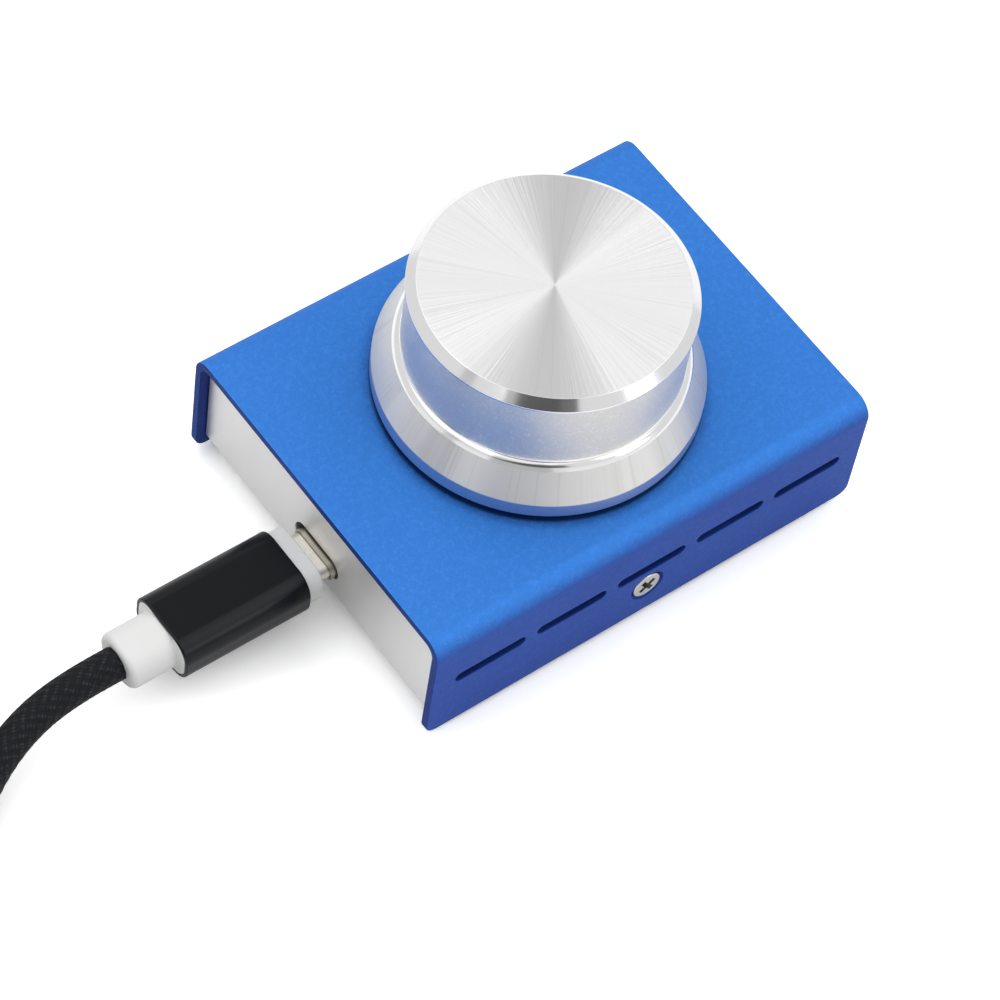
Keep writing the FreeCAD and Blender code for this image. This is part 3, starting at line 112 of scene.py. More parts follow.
class Graph:
    """The node tree of one material or world, built from expressions."""

    def __init__(self, tree: bpy.types.NodeTree) -> None:
        """Start from an empty tree."""
        self.tree = tree
        tree.nodes.clear()

    def put(self, socket: bpy.types.NodeSocket, value: Value) -> None:
        """Link a socket to another one, or set its number or colour.

        Args:
            socket: The input to feed.
            value: A wrapped socket, a number, or three or four numbers.
        """
        if isinstance(value, Sock):
            self.tree.links.new(value.socket, socket)
        elif socket.type == "RGBA":
            socket.default_value = (*value[:3], 1.0)
        else:
            socket.default_value = value

    def node(self, kind: str, settings: dict[str, Any],
             inputs: dict[Union[str, int], Value]) -> bpy.types.Node:
        """Add a node.

        Args:
            kind: Blender's name of the node's type.
            settings: Properties set before the inputs.
            inputs: Values or links of its inputs, by name or index.

        Returns:
            The node.
        """
        made = self.tree.nodes.new(kind)
        for name, setting in settings.items():
            setattr(made, name, setting)
        for name, value in inputs.items():
            self.put(made.inputs[name], value)
        return made

    def add(self, kind: str, settings: dict[str, Any], inputs: dict[Union[str, int], Value],
            output: Union[str, int] = 0) -> Sock:
        """Add a node and wrap one of its outputs."""
        return Sock(self, self.node(kind, settings, inputs).outputs[output])

    def math(self, operation: str, first: Value, second: Value = 0.0) -> Sock:
        """A Math node on one or two numbers."""
        return self.add("ShaderNodeMath", {"operation": operation}, {0: first, 1: second})

    def vector(self, operation: str, first: Value, second: Value) -> Sock:
        """A Vector Math node on two vectors."""
        return self.add("ShaderNodeVectorMath", {"operation": operation}, {0: first, 1: second})

    def size(self, value: Value) -> Sock:
        """A number without its sign."""
        return self.math("ABSOLUTE", value)

    def larger(self, first: Value, second: Value) -> Sock:
        """The larger of two numbers."""
        return self.math("MAXIMUM", first, second)

    def sway(self, value: Value, top: float = 1.0) -> Sock:
        """A number that runs up to the top and back down to 0, over and over."""
        return self.math("PINGPONG", value, top)

    def reach(self, x: Sock, y: Sock) -> Sock:
        """Distance from the Z axis."""
        return self.math("SQRT", x * x + y * y)

    def mix(self, share: Value, first: Value, second: Value) -> Sock:
        """The first colour at share 0, the second at share 1."""
        inputs = {"Factor": share, 6: first, 7: second}
        return self.add("ShaderNodeMix", {"data_type": "RGBA"}, inputs, 2)

    def smooth(self, value: Value, low: float, high: float) -> Sock:
        """A soft step from 0 at low to 1 at high."""
        inputs = {"Value": value, "From Min": low, "From Max": high}
        return self.add("ShaderNodeMapRange", {"interpolation_type": "SMOOTHSTEP"}, inputs)

    def noise(self, place: Sock, scale: float, detail: float = 2.0, rough: float = 0.5) -> Sock:
        """Soft noise about 0.5, at a number of waves per metre."""
        inputs = {"Vector": place, "Scale": scale, "Detail": detail, "Roughness": rough}
        return self.add("ShaderNodeTexNoise", {}, inputs)

    def cells(self, place: Sock, scale: float) -> Sock:
        """A random level for each grain, at a number of grains per metre."""
        return self.add("ShaderNodeTexVoronoi", {}, {"Vector": place, "Scale": scale}, "Color")

    def place(self) -> Sock:
        """The point in the object's own space, which lies in the frame at rest."""
        return self.add("ShaderNodeTexCoord", {}, {}, "Object")

    def split(self, vector: Sock) -> tuple[Sock, Sock, Sock]:
        """The three numbers of a vector."""
        x = self.add("ShaderNodeSeparateXYZ", {}, {0: vector}, "X")
        return x, x.of("Y"), x.of("Z")

    def join(self, x: Value, y: Value, z: Value) -> Sock:
        """A vector of three numbers."""
        return self.add("ShaderNodeCombineXYZ", {}, {0: x, 1: y, 2: z})

    def bump(self, height: Sock, distance: float, strength: float = 1.0) -> Sock:
        """A normal from a height between 0 and 1 that stands for a distance in metres."""
        inputs = {"Height": height, "Distance": distance, "Strength": strength}
        return self.add("ShaderNodeBump", {}, inputs, "Normal")

    def surface(self, **sockets: Value) -> None:
        """Finish a material with one Principled shader.

        Args:
            sockets: Values of its inputs, named with _ for spaces.
        """
        inputs = {name.replace("_", " "): value for name, value in sockets.items()}
        shader = self.add("ShaderNodeBsdfPrincipled", {}, inputs, "BSDF")
        self.add_output("ShaderNodeOutputMaterial", shader)

    def add_output(self, kind: str, shader: Sock) -> None:
        """End the tree in an output node."""
        self.node(kind, {}, {"Surface": shader})


# ---------------------------------------------------------------- finishes


def toned(colour: Colour, gain: float, lift: float = 0.0) -> list[float]:
    """A colour made lighter or darker."""
    return [min(1.0, gain * part + lift) for part in colour]


@dataclass(frozen=True)
class Finish:
    """A surface finish: its material's name and base colour."""

    name: str
    colour: Colour

    def paint(self, graph: Graph) -> None:
        """Build the nodes; each finish has its own."""
        raise NotImplementedError

    def material(self) -> bpy.types.Material:
        """The finish's material, made once.

        Returns:
            The material.
        """
        made = bpy.data.materials.get(self.name)
        if made is None:
            made = bpy.data.materials.new(self.name)
            made.use_nodes = True
            made.diffuse_color = (*self.colour, 1.0)
            self.paint(Graph(made.node_tree))
        return made


@dataclass(frozen=True)
class AnodisedSheet(Finish):
    """Fine-blasted, dyed aluminium sheet, with its lengths in millimetres and its grains by the metre.

    Painted shade makes the blue deeper on the folded sides and deepest on the cut edges and inner faces, and a
    painted shadow darkens it close round the knob.
    """

    # Darker copies of the blue, painted as shade: on the folded sides, on the cut edges and inner faces, and
    # under the knob.
    shaded_side_colour: Colour = (0.036, 0.082, 0.38)
    shaded_cut_colour: Colour = (0.012, 0.036, 0.22)
    shaded_colour: Colour = (0.003, 0.010, 0.09)
    gloss_colour: Colour = (0.35, 0.50, 1.0)
    metallic: float = 0.35
    rough: float = 0.40
    panel_level: float = 22.4
    bend: float = 3.0
    covered: float = 23.2
    # Strengths of the painted shadow under the knob's lip and of the softer one round it.
    under_knob_shadow_share: float = 0.65
    near_knob_shadow_share: float = 0.25
    cloud_share: float = 0.10
    sparkle: float = 0.18
    mottle: float = 0.20
    grains: float = 5200.0
    clumps: float = 1150.0
    clouds: float = 70.0
    pits: float = 2600.0
    pit_depth: float = 0.02

    def cuts(self, graph: Graph, y: Sock, below: Sock) -> Sock:
        """1 on the cut edges and the inner faces of the sheet, by which way they face.

        Args:
            graph: The material's graph.
            y: Place across the sheet.
            below: Depth below the top of the panel, in metres.

        Returns:
            The mask.
        """
        facing_x, facing_y, facing_z = graph.split(graph.add("ShaderNodeNewGeometry", {}, {}, "True Normal"))
        flange_edge = (below > self.bend * MM) * (graph.size(facing_z) > 0.35)
        edge = graph.larger(graph.size(facing_x) > 0.55, flange_edge)
        return graph.larger(edge, (facing_y * y) < -0.002)

    def paint(self, graph: Graph) -> None:
        """Dye, painted shade on the sides, the cuts and round the knob, sparkle of the blasted grain, and its
        fine relief.

        Args:
            graph: The material's graph.
        """
        place = graph.place()
        x, y, z = graph.split(place)
        below = self.panel_level * MM - z
        # Painted shade: the folded sides, the cut edges and the inner faces take darker copies of the blue.
        down = graph.smooth(below / (self.bend * MM), 0.04, 0.95)
        cut = self.cuts(graph, y, below)
        dyed_and_shaded = graph.mix(cut, graph.mix(down, self.colour, self.shaded_side_colour), self.shaded_cut_colour)
        # Painted shadow: much darker just under the knob's lip, and a little darker in a ring round it.
        radius = graph.reach(x, y) / MM
        painted_shadow_under_knob = graph.smooth(radius, self.covered + 0.5, self.covered - 0.1) * self.under_knob_shadow_share
        painted_shadow_near_knob = graph.smooth(radius, self.covered + 1.9, self.covered + 0.2) * self.near_knob_shadow_share
        dyed_and_shaded = graph.mix((painted_shadow_under_knob + painted_shadow_near_knob) * (1.0 - down), dyed_and_shaded, self.shaded_colour)
        cloud = graph.smooth(graph.noise(place, self.clouds, 3.0), 0.3, 0.7)
        dyed_and_shaded = graph.mix(cloud * self.cloud_share, dyed_and_shaded, toned(self.colour, 0.90))
        grain = graph.cells(place, self.grains)
        coarse = graph.smooth(graph.noise(place, self.clumps, 3.0, 0.6), 0.42, 0.75)
        speck = graph.smooth(grain, 0.5, 0.9) * self.sparkle + coarse * self.mottle
        # The lighter grains fade on the shaded sides, on the cuts and in the painted shadow under the knob.
        speck = speck * (1.0 - cut) * (1.0 - down * 0.6) * (1.0 - painted_shadow_under_knob * 1.5)
        relief = grain * 0.6 + graph.noise(place, self.pits, 2.0, 0.6)
        graph.surface(
            Base_Color=graph.mix(speck, dyed_and_shaded, toned(self.colour, 1.5, 0.02)), Metallic=self.metallic,
            Roughness=self.rough + grain * 0.14, Specular_IOR_Level=0.22, Specular_Tint=self.gloss_colour,
            Normal=graph.bump(relief, self.pit_depth * MM, 0.5))


@dataclass(frozen=True)
class PlainMetal(Finish):
    """Bare or plated metal with a faint cloud and fine scratches."""

    rough: float = 0.3
    relief: float = 0.0008
    scratch: float = 0.12
    tint: Colour = (0.62, 0.60, 0.56)
    clouds: float = 160.0
    scratches: Point3 = (900.0, 5200.0, 5200.0)
    grains: float = 4200.0

    def paint(self, graph: Graph) -> None:
        """Cloudy plating, and fine lines that change the gloss.

        Args:
            graph: The material's graph.
        """
        place = graph.place()
        cloud = graph.noise(place, self.clouds, 4.0)
        lines = graph.noise(graph.vector("MULTIPLY", place, self.scratches), 1.0)
        graph.surface(
            Base_Color=graph.mix(graph.smooth(cloud, 0.42, 0.75) * 0.5, self.colour, self.tint),
            Metallic=1.0, Roughness=self.rough + (lines - 0.5) * self.scratch + (cloud - 0.5) * 0.12,
            Normal=graph.bump(graph.noise(place, self.grains), self.relief * MM))


@dataclass(frozen=True)
class SatinPlate(Finish):
    """Satin silver sheet of the chassis, blasted and clear anodised."""

    tint: Colour = (0.76, 0.75, 0.73)
    rough: float = 0.33
    metallic: float = 0.8
    grains: float = 3400.0
    clouds: float = 60.0
    pits: float = 2800.0
    pit_depth: float = 0.012

    def paint(self, graph: Graph) -> None:
        """Soft grey grain with a slightly warm cloud.

        Args:
            graph: The material's graph.
        """
        place = graph.place()
        cloud = graph.noise(place, self.clouds, 3.0)
        graph.surface(
            Base_Color=graph.mix(cloud * 0.35, self.colour, self.tint), Metallic=self.metallic,
            Roughness=self.rough + graph.cells(place, self.grains) * 0.10,
            Normal=graph.bump(graph.noise(place, self.pits, 2.0, 0.6), self.pit_depth * MM, 0.5))


@dataclass(frozen=True)
class SpunMetal(Finish):
    """Metal turned in fine rings round Z, so that light fans out in rays across the rings."""

    rough: float = 0.34
    stretch: float = 1.0
    rays: float = 42.0
    ray_depth: float = 0.055
    painted_streak_share: float = 0.30
    lines: float = 2.6
    painted_line_share: float = 0.08
    painted_line_colour: Colour = (0.30, 0.30, 0.32)
    ring_pitch: float = 0.16
    radius: float = 18.75

    def paint(self, graph: Graph) -> None:
        """Rays where the tool chattered, which tilt the surface a little, darker painted reflection streaks
        along the rays and on a few thin radial lines, and the rings of the cut.

        Args:
            graph: The material's graph.
        """
        x, y, _ = graph.split(graph.place())
        radius = graph.reach(x, y)
        across, up = x / radius, y / radius

        def ray_noise(waves: float, seed: float, detail: float, rough: float) -> Sock:
            """Noise that changes only round the axis."""
            return graph.noise(graph.join(across * waves, up * waves, seed), 1.0, detail, rough)

        fine = ray_noise(self.rays, 0.0, 3.0, 0.65)
        wide = ray_noise(self.rays / 14, 3.0, 2.0, 0.5)
        # Painted reflection streaks: a few thin radial lines are painted darker in the colour.
        lines = graph.smooth(graph.size(ray_noise(self.lines, 11.0, 3.0, 0.7) - 0.5), 0.012, 0.0)
        rings = graph.noise(graph.join(radius * (1.0 / (self.ring_pitch * MM)), 0.0, 7.0), 1.0, 1.0)
        # The rays and their tilt are strongest along X and Y and fade at the diagonals; the colour is painted
        # darker along the rays, as painted reflection streaks.
        sector = 1.0 - across * across * up * up * 4.0
        painted_ray_streaks = graph.smooth(fine, 0.40, 0.62) * 0.8 * sector + graph.smooth(wide, 0.35, 0.65) * 0.2
        colour = graph.mix(painted_ray_streaks * self.painted_streak_share, self.colour, toned(self.colour, 0.76))
        chatter = fine * (0.25 + sector * 1.35) * 0.9 + wide * 0.4
        height = chatter * (radius / (self.radius * MM)) + rings * 0.012
        graph.surface(
            Base_Color=graph.mix(lines * self.painted_line_share, colour, self.painted_line_colour), Metallic=1.0,
            Roughness=self.rough, Anisotropic=self.stretch, Anisotropic_Rotation=0.25,
            Normal=graph.bump(height, self.ray_depth * MM))


@dataclass(frozen=True)
class PolishedCut(Finish):
    """Diamond-cut chamfer, almost a mirror, with the faint rings of the tool."""

    rough: float = 0.10
    ring_pitch: float = 0.07
    ring_depth: float = 0.002
    haze: float = 130.0

    def paint(self, graph: Graph) -> None:
        """Near-mirror metal with fine rings in its height.

        Args:
            graph: The material's graph.
        """
        place = graph.place()
        x, y, z = graph.split(place)
        waves = 1.0 / (self.ring_pitch * MM)
        rings = graph.noise(graph.join(graph.reach(x, y) * waves, z * waves, 0.0), 1.0, 1.0)
        haze = graph.noise(place, self.haze)
        graph.surface(
            Base_Color=self.colour, Metallic=1.0, Roughness=self.rough + (haze - 0.5) * 0.06,
            Normal=graph.bump(rings, self.ring_depth * MM, 0.6))


@dataclass(frozen=True)
class BlastedMetal(Finish):
    """Bead-blasted aluminium: matt, with a fine sparkle."""

    sparkle_colour: Colour = (0.97, 0.97, 0.98)
    rough: float = 0.46
    grains: float = 4200.0
    pits: float = 3800.0
    pit_depth: float = 0.02

    def paint(self, graph: Graph) -> None:
        """Speckled gloss and fine pits.

        Args:
            graph: The material's graph.
        """
        place = graph.place()
        grain = graph.cells(place, self.grains)
        graph.surface(
            Base_Color=graph.mix(graph.smooth(grain, 0.6, 1.0) * 0.5, self.colour, self.sparkle_colour),
            Metallic=1.0, Roughness=self.rough + (grain - 0.5) * 0.14,
            Normal=graph.bump(graph.noise(place, self.pits, 2.0, 0.7), self.pit_depth * MM, 0.6))


@dataclass(frozen=True)
class Plastic(Finish):
    """Moulded plastic or rubber with a fine skin."""

    rough: float = 0.35
    relief: float = 0.006
    grain: float = 1500.0
    clouds: float = 110.0
    specular: float = 0.5

    def paint(self, graph: Graph) -> None:
        """Even colour with a faint cloud, and the mould's skin in its gloss and height.

        Args:
            graph: The material's graph.
        """
        place = graph.place()
        cloud = graph.noise(place, self.clouds, 3.0)
        skin = graph.noise(place, self.grain, 2.0, 0.6)
        graph.surface(
            Base_Color=graph.mix(cloud * 0.25, self.colour, toned(self.colour, 0.86)),
            Roughness=self.rough + (skin - 0.5) * 0.10, Specular_IOR_Level=self.specular,
            Normal=graph.bump(skin, self.relief * MM))


@dataclass(frozen=True)
class SatinSleeve(Finish):
    """Black anodised sleeve, drawn along its length."""

    drawn_colour: Colour = (0.005, 0.006, 0.009)
    gloss_colour: Colour = (0.93, 0.96, 1.0)
    rough: float = 0.25
    specular: float = 0.27
    draw: Point3 = (90.0, 2600.0, 2600.0)
    grains: float = 3600.0
    grain_depth: float = 0.005

    def paint(self, graph: Graph) -> None:
        """Long fine draw lines that change the gloss.

        Args:
            graph: The material's graph.
        """
        place = graph.place()
        lines = graph.noise(graph.vector("MULTIPLY", place, self.draw), 1.0, 3.0)
        graph.surface(
            Base_Color=graph.mix(graph.smooth(lines, 0.45, 0.8) * 0.12, self.colour, self.drawn_colour),
            Metallic=0.0, Roughness=self.rough + (lines - 0.5) * 0.02,
            Specular_IOR_Level=self.specular, Specular_Tint=self.gloss_colour,
            Normal=graph.bump(graph.noise(place, self.grains), self.grain_depth * MM, 0.6))


@dataclass(frozen=True)
class BoardMask(Finish):
    """Solder mask over copper tracks."""

    track_colour: Colour = (0.05, 0.30, 0.15)
    rough: float = 0.28
    tracks: float = 700.0
    bends: float = 160.0
    track_height: float = 0.03

    def paint(self, graph: Graph) -> None:
        """Green lacquer with lighter tracks in a square grid.

        Args:
            graph: The material's graph.
        """
        x, y, _ = graph.split(graph.place())
        grid = []
        for beside, along in ((x, (0.0, y * self.bends, 0.0)), (y, (x * self.bends, 0.0, 0.0))):
            wander = graph.noise(graph.join(*along), 1.0) * 2.0
            grid.append(graph.smooth(graph.sway(beside * self.tracks + wander), 0.86, 0.92))
        track = graph.larger(*grid)
        graph.surface(
            Base_Color=graph.mix(track * 0.6, self.colour, self.track_colour),
            Roughness=self.rough + track * 0.05, Normal=graph.bump(track, self.track_height * MM))


@dataclass(frozen=True)
class BraidFinish(Finish):
    """Braided sleeve of fine black yarn, drawn from the tube's own around and along coordinates."""

    # The lighter colour of the painted highlight on the yarns.
    fibre_highlight_colour: Colour = (0.034, 0.037, 0.046)
    rough: float = 0.55
    specular: float = 0.22
    strands: int = 10
    step: float = 1.9
    yarn_height: float = 0.14

    def paint(self, graph: Graph) -> None:
        """Two sets of crossing yarns with fibres along each, and a painted highlight on their crowns.

        Args:
            graph: The material's graph.
        """
        around, along, _ = graph.split(graph.add("ShaderNodeUVMap", {"uv_map": "braid"}, {}))
        turned, climbed = around * float(self.strands), along * (1.0 / self.step)
        first, second = turned + climbed, turned - climbed
        square = graph.math("FLOOR", first) + graph.math("FLOOR", second)
        over = graph.smooth(graph.sway(square, 2.0), 0.4, 1.6)
        fibre = over * graph.sway(second * 5.0) + (1.0 - over) * graph.sway(first * 5.0)
        crown = over * graph.sway(first * 2.0) + (1.0 - over) * graph.sway(second * 2.0)
        fuzz = graph.noise(graph.join(around * 300.0, along * 9.0, 0.0), 1.0, 3.0)
        patch = graph.noise(graph.join(around * 9.0, along * 0.8, 5.0), 1.0, 3.0, 0.6)
        # Painted highlight: the yarns' crowns are painted lighter, more in some patches and along some fibres
        # than others.
        highlight_patches = 0.05 + fuzz * 0.5 + graph.smooth(patch, 0.35, 0.7) * 0.9
        light = graph.smooth(crown * 0.6 + fibre * 0.4, 0.45, 1.0) * highlight_patches
        graph.surface(
            Base_Color=graph.mix(light, self.colour, self.fibre_highlight_colour), Roughness=self.rough + fuzz * 0.2,
            Specular_IOR_Level=self.specular,
            Normal=graph.bump(crown * 0.6 + fibre * 0.3 + fuzz * 0.15, self.yarn_height * MM, 0.7))


@dataclass(frozen=True)
class WovenStrap(Finish):
    """Narrow woven strap."""

    threads: float = 9000.0
    thread_height: float = 0.05

    def paint(self, graph: Graph) -> None:
        """A small square weave in object space.

        Args:
            graph: The material's graph.
        """
        x, y, z = graph.split(graph.place())
        warp, weft = (graph.math("SINE", run * self.threads) for run in (x + y, z - x + y))
        weave = warp * weft * 0.5 + 0.5
        graph.surface(
            Base_Color=graph.mix(weave, self.colour, toned(self.colour, 2.0)), Roughness=0.8,
            Sheen_Weight=0.2, Normal=graph.bump(weave, self.thread_height * MM))


COVER_BLUE = AnodisedSheet("anodised_blue", (0.042, 0.211, 0.672))
CHASSIS_SILVER = SatinPlate("satin_silver", (0.87, 0.87, 0.865))
NICKEL = PlainMetal("bright_nickel", (0.65, 0.625, 0.565), rough=0.26, relief=0.0002, scratch=0.04)
# A darker copy of the bright nickel, as painted shade for the receptacle's shell deep in the port.
SHADED_NICKEL = PlainMetal("shaded_nickel", (0.40, 0.38, 0.33), rough=0.28, relief=0.0002, scratch=0.05,
                         tint=(0.28, 0.26, 0.21))
STEEL = PlainMetal("zinc_steel", (0.62, 0.63, 0.64), rough=0.32)
DIE_CAST = PlainMetal("die_cast_zinc", (0.55, 0.55, 0.56), rough=0.42, relief=0.003)
SHAFT_METAL = PlainMetal("turned_shaft", (0.72, 0.72, 0.73), rough=0.28)
GOLD = PlainMetal("gold_plate", (0.86, 0.62, 0.25), rough=0.22, tint=(0.80, 0.55, 0.20))
FOOT_RUBBER = Plastic("foot_rubber", (0.022, 0.022, 0.023), rough=0.72, relief=0.03, grain=2600.0,
                      specular=0.3)
BLACK_PLASTIC = Plastic("black_moulding", (0.018, 0.018, 0.020), rough=0.45)
PALE_PLASTIC = Plastic("pale_moulding", (0.72, 0.70, 0.62), rough=0.45)
WHITE_GLOSS = Plastic("white_moulding", (0.79, 0.79, 0.785), rough=0.34, relief=0.003)
CERAMIC = Plastic("capacitor_ceramic", (0.46, 0.33, 0.20), rough=0.5)
BOARD_GREEN = BoardMask("board_mask", (0.012, 0.13, 0.06))
SLEEVE_BLACK = SatinSleeve("black_sleeve", (0.0012, 0.0015, 0.0024))
KNOB_FACE = SpunMetal("spun_face", (0.96, 0.96, 0.97))
KNOB_CROWN = PolishedCut("polished_crown", (0.90, 0.90, 0.91), rough=0.12)
KNOB_WALL = BlastedMetal("blasted_wall", (0.76, 0.74, 0.70))
KNOB_CONE = SpunMetal("turned_cone", (0.71, 0.705, 0.70), rough=0.38, stretch=0.6, rays=9.0, ray_depth=0.08,
                      painted_line_share=0.15)
# The lip is painted a darker, purplish grey as painted shade: it stands for the shaded cover that the lip
# mirrors.
SHADED_KNOB_LIP = PolishedCut("shaded_turned_lip", (0.64, 0.60, 0.65), rough=0.40)
KNOB_LAND = PolishedCut("polished_lip", (0.90, 0.90, 0.91), rough=0.20)
# The screws' cross recesses are painted near black, as painted shade.
SHADED_RECESS = PlainMetal("shaded_screw_recess", (0.10, 0.095, 0.085), rough=0.6, tint=(0.16, 0.15, 0.13))
KNOB_INSIDE = PlainMetal("knob_inside", (0.66, 0.66, 0.67), rough=0.38, relief=0.002)
BRAID = BraidFinish("black_braid", (0.0040, 0.0045, 0.0060))
TIE_WEAVE = WovenStrap("tie_weave", (0.018, 0.018, 0.020))


# ---------------------------------------------------------------- mesh tools

# Turns in degrees beyond which an edge stays sharp.
TURNED_EDGE = 40.0
SHEET_EDGE = 50.0
SHELL_EDGE = 30.0


def traced(corners: Sequence[Point3], closed: bool, step: float = 15.0) -> list[tuple[Point2, int]]:
    """An outline whose corners are turned into arcs.

    Args:
        corners: Each corner's place and radius, 0 for a sharp one.
        closed: Whether the last corner joins the first.
        step: Largest turn between two points of an arc, in degrees.

    Returns:
        The outline's points in order, each with the number of its corner.
    """
    points: list[tuple[Point2, int]] = []
    # Keeps a turn of whole steps from getting one more by a rounding error.
    slack = 1e-3
    count = len(corners)
    for index, (x, y, radius) in enumerate(corners):
        if radius <= 0 or (not closed and index in (0, count - 1)):
            points.append(((x, y), index))
            continue
        here = Vector((x, y))
        before = (Vector(corners[index - 1][:2]) - here).normalized()
        after = (Vector(corners[(index + 1) % count][:2]) - here).normalized()
        half = before.angle(after) / 2
        cut = radius / math.tan(half)
        middle = here + (before + after).normalized() * (radius / math.sin(half))
        start, stop = here + before * cut - middle, here + after * cut - middle
        turn = start.angle_signed(stop)
        pieces = max(2, math.ceil(abs(math.degrees(turn)) / step - slack))
        for piece in range(pieces + 1):
            spoke = start.copy()
            spoke.rotate(Matrix.Rotation(-turn * piece / pieces, 2))
            points.append((tuple(middle + spoke), index))
    return points


def rounded(corners: Sequence[Point3], step: float) -> list[Point2]:
    """A closed outline whose corners, given as place and radius, are turned into arcs."""
    return [point for point, _ in traced(corners, True, step)]


def circle(radius: float, x: float = 0.0, y: float = 0.0, steps: int = 48) -> list[Point2]:
    """A round outline."""
    turns = [2 * math.pi * k / steps for k in range(steps)]
    return [(x + radius * math.cos(turn), y + radius * math.sin(turn)) for turn in turns]


def rounded_box(width: float, height: float, corner: float, step: float = 10.0) -> list[Point2]:
    """A rectangle round the origin with four equal arcs, which stay just short of meeting."""
    radius = min(corner, width / 2 * 0.9999, height / 2 * 0.9999)
    return rounded([(sx * width / 2, sy * height / 2, radius) for sx, sy in ROUND], step)


def in_scene(name: str, data: bpy.types.ID) -> Piece:
    """A scene object that shows some data.

    Args:
        name: The object's name.
        data: A mesh, curve, camera or light.

    Returns:
        The object.
    """
    made = bpy.data.objects.new(name, data)
    bpy.context.scene.collection.objects.link(made)
    return made


def evaluated(piece: Piece) -> bpy.types.Mesh:
    """The mesh that a piece has after its modifiers."""
    view = bpy.context.evaluated_depsgraph_get()
    return bpy.data.meshes.new_from_object(piece.evaluated_get(view))


def to_mesh(shape: bmesh.types.BMesh, mesh: bpy.types.Mesh) -> bpy.types.Mesh:
    """Fill a mesh from a shape.

    Args:
        shape: The shape, which is freed.
        mesh: The mesh to fill.

    Returns:
        The same mesh.
    """
    shape.to_mesh(mesh)
    shape.free()
    return mesh


def dress(mesh: bpy.types.Mesh, name: str, finishes: Sequence[Finish]) -> Piece:
    """Turn a mesh into a scene object with its finishes in order.

    Args:
        mesh: The mesh to show.
        name: The piece's name.
        finishes: Its finishes, in the order of their slots.

    Returns:
        The piece, which is now in the scene.
    """
    for finish in finishes:
        mesh.materials.append(finish.material())
    return in_scene(name, mesh)


def shade(mesh: bpy.types.Mesh, angle: float) -> None:
    """Smooth shading that stays sharp at edges beyond an angle in degrees."""
    mesh.polygons.foreach_set("use_smooth", [True] * len(mesh.polygons))
    mesh.set_sharp_from_angle(angle=math.radians(angle))


def swept(name: str, rings: Sequence[Sequence[Vector]], finishes: Sequence[Finish],
          zones: Sequence[int] = (), capped: bool = True, loop: bool = False) -> Piece:
    """A skin over closed rings of equal point counts.

    Args:
        name: The piece's name.
        rings: The rings in order; each is closed.
        finishes: Materials of the piece.
        zones: For each band between rings, which finish it takes; empty for the first.
        capped: Whether the first and last ring are filled.
        loop: Whether the last ring joins the first, which leaves nothing to fill.

    Returns:
        The piece.
    """
    shape = bmesh.new()
    rows = [[shape.verts.new(point) for point in ring] for ring in rings]
    pairs = list(zip(rows, rows[1:])) + ([(rows[-1], rows[0])] if loop else [])
    for index, (low, high) in enumerate(pairs):
        for k in range(len(low)):
            after = (k + 1) % len(low)
            face = shape.faces.new((low[k], low[after], high[after], high[k]))
            face.material_index = zones[index] if zones else 0
    if capped and not loop:
        for row in (rows[0][::-1], rows[-1]):
            shape.faces.new(row)
    bmesh.ops.remove_doubles(shape, verts=shape.verts, dist=1e-8)
    bmesh.ops.recalc_face_normals(shape, faces=shape.faces)
    mesh = to_mesh(shape, bpy.data.meshes.new(name))
    shade(mesh, TURNED_EDGE)
    return dress(mesh, name, finishes)


def lathe(name: str, outline: Sequence[Point2], finishes: Sequence[Finish], zones: Sequence[int] = (),
          steps: int = 48, closed: bool = False) -> Piece:
    """A turned piece round Z from points of radius and height in millimetres.

    Args:
        name: The piece's name.
        outline: Points of radius and height, in millimetres.
        finishes: Materials of the piece.
        zones: For each band of the outline, which finish it takes; empty for the first.
        steps: Points of each ring.
        closed: Whether the outline's last point joins the first.

    Returns:
        The piece.
    """
    rings = [[Vector((x, y, height)) * MM for x, y in circle(radius, steps=steps)]
             for radius, height in outline]
    return swept(name, rings, finishes, zones, False, closed)


def along_x(sections: Sequence[Section], step: float) -> list[list[Vector]]:
    """Rings of a piece that lies along X, from its station, width, height and corner in millimetres."""
    return [[Vector((x, y, z)) * MM for y, z in rounded_box(width, height, corner, step)]
            for x, width, height, corner in sections]


def soft_end(station: float, facing: int, size: Point3, rounding: float, steps: int) -> list[Section]:
    """Sections of a rounded end of a piece along X.

    Args:
        station: Where the piece ends.
        facing: 1 where the piece goes on towards +X, -1 where it comes from there.
        size: Width, height and corner of the piece.
        rounding: Radius of its end.
        steps: Pieces of the quarter turn.

    Returns:
        The sections in order along +X.
    """
    width, height, corner = size
    least_corner = 0.01
    sections = []
    for step in range(steps + 1):
        turn = math.pi / 2 * step / steps
        inset = rounding * (1 - math.sin(turn))
        sections.append((station + facing * rounding * (1 - math.cos(turn)),
                         width - 2 * inset, height - 2 * inset, max(least_corner, corner - inset)))
    return sections if facing > 0 else sections[::-1]


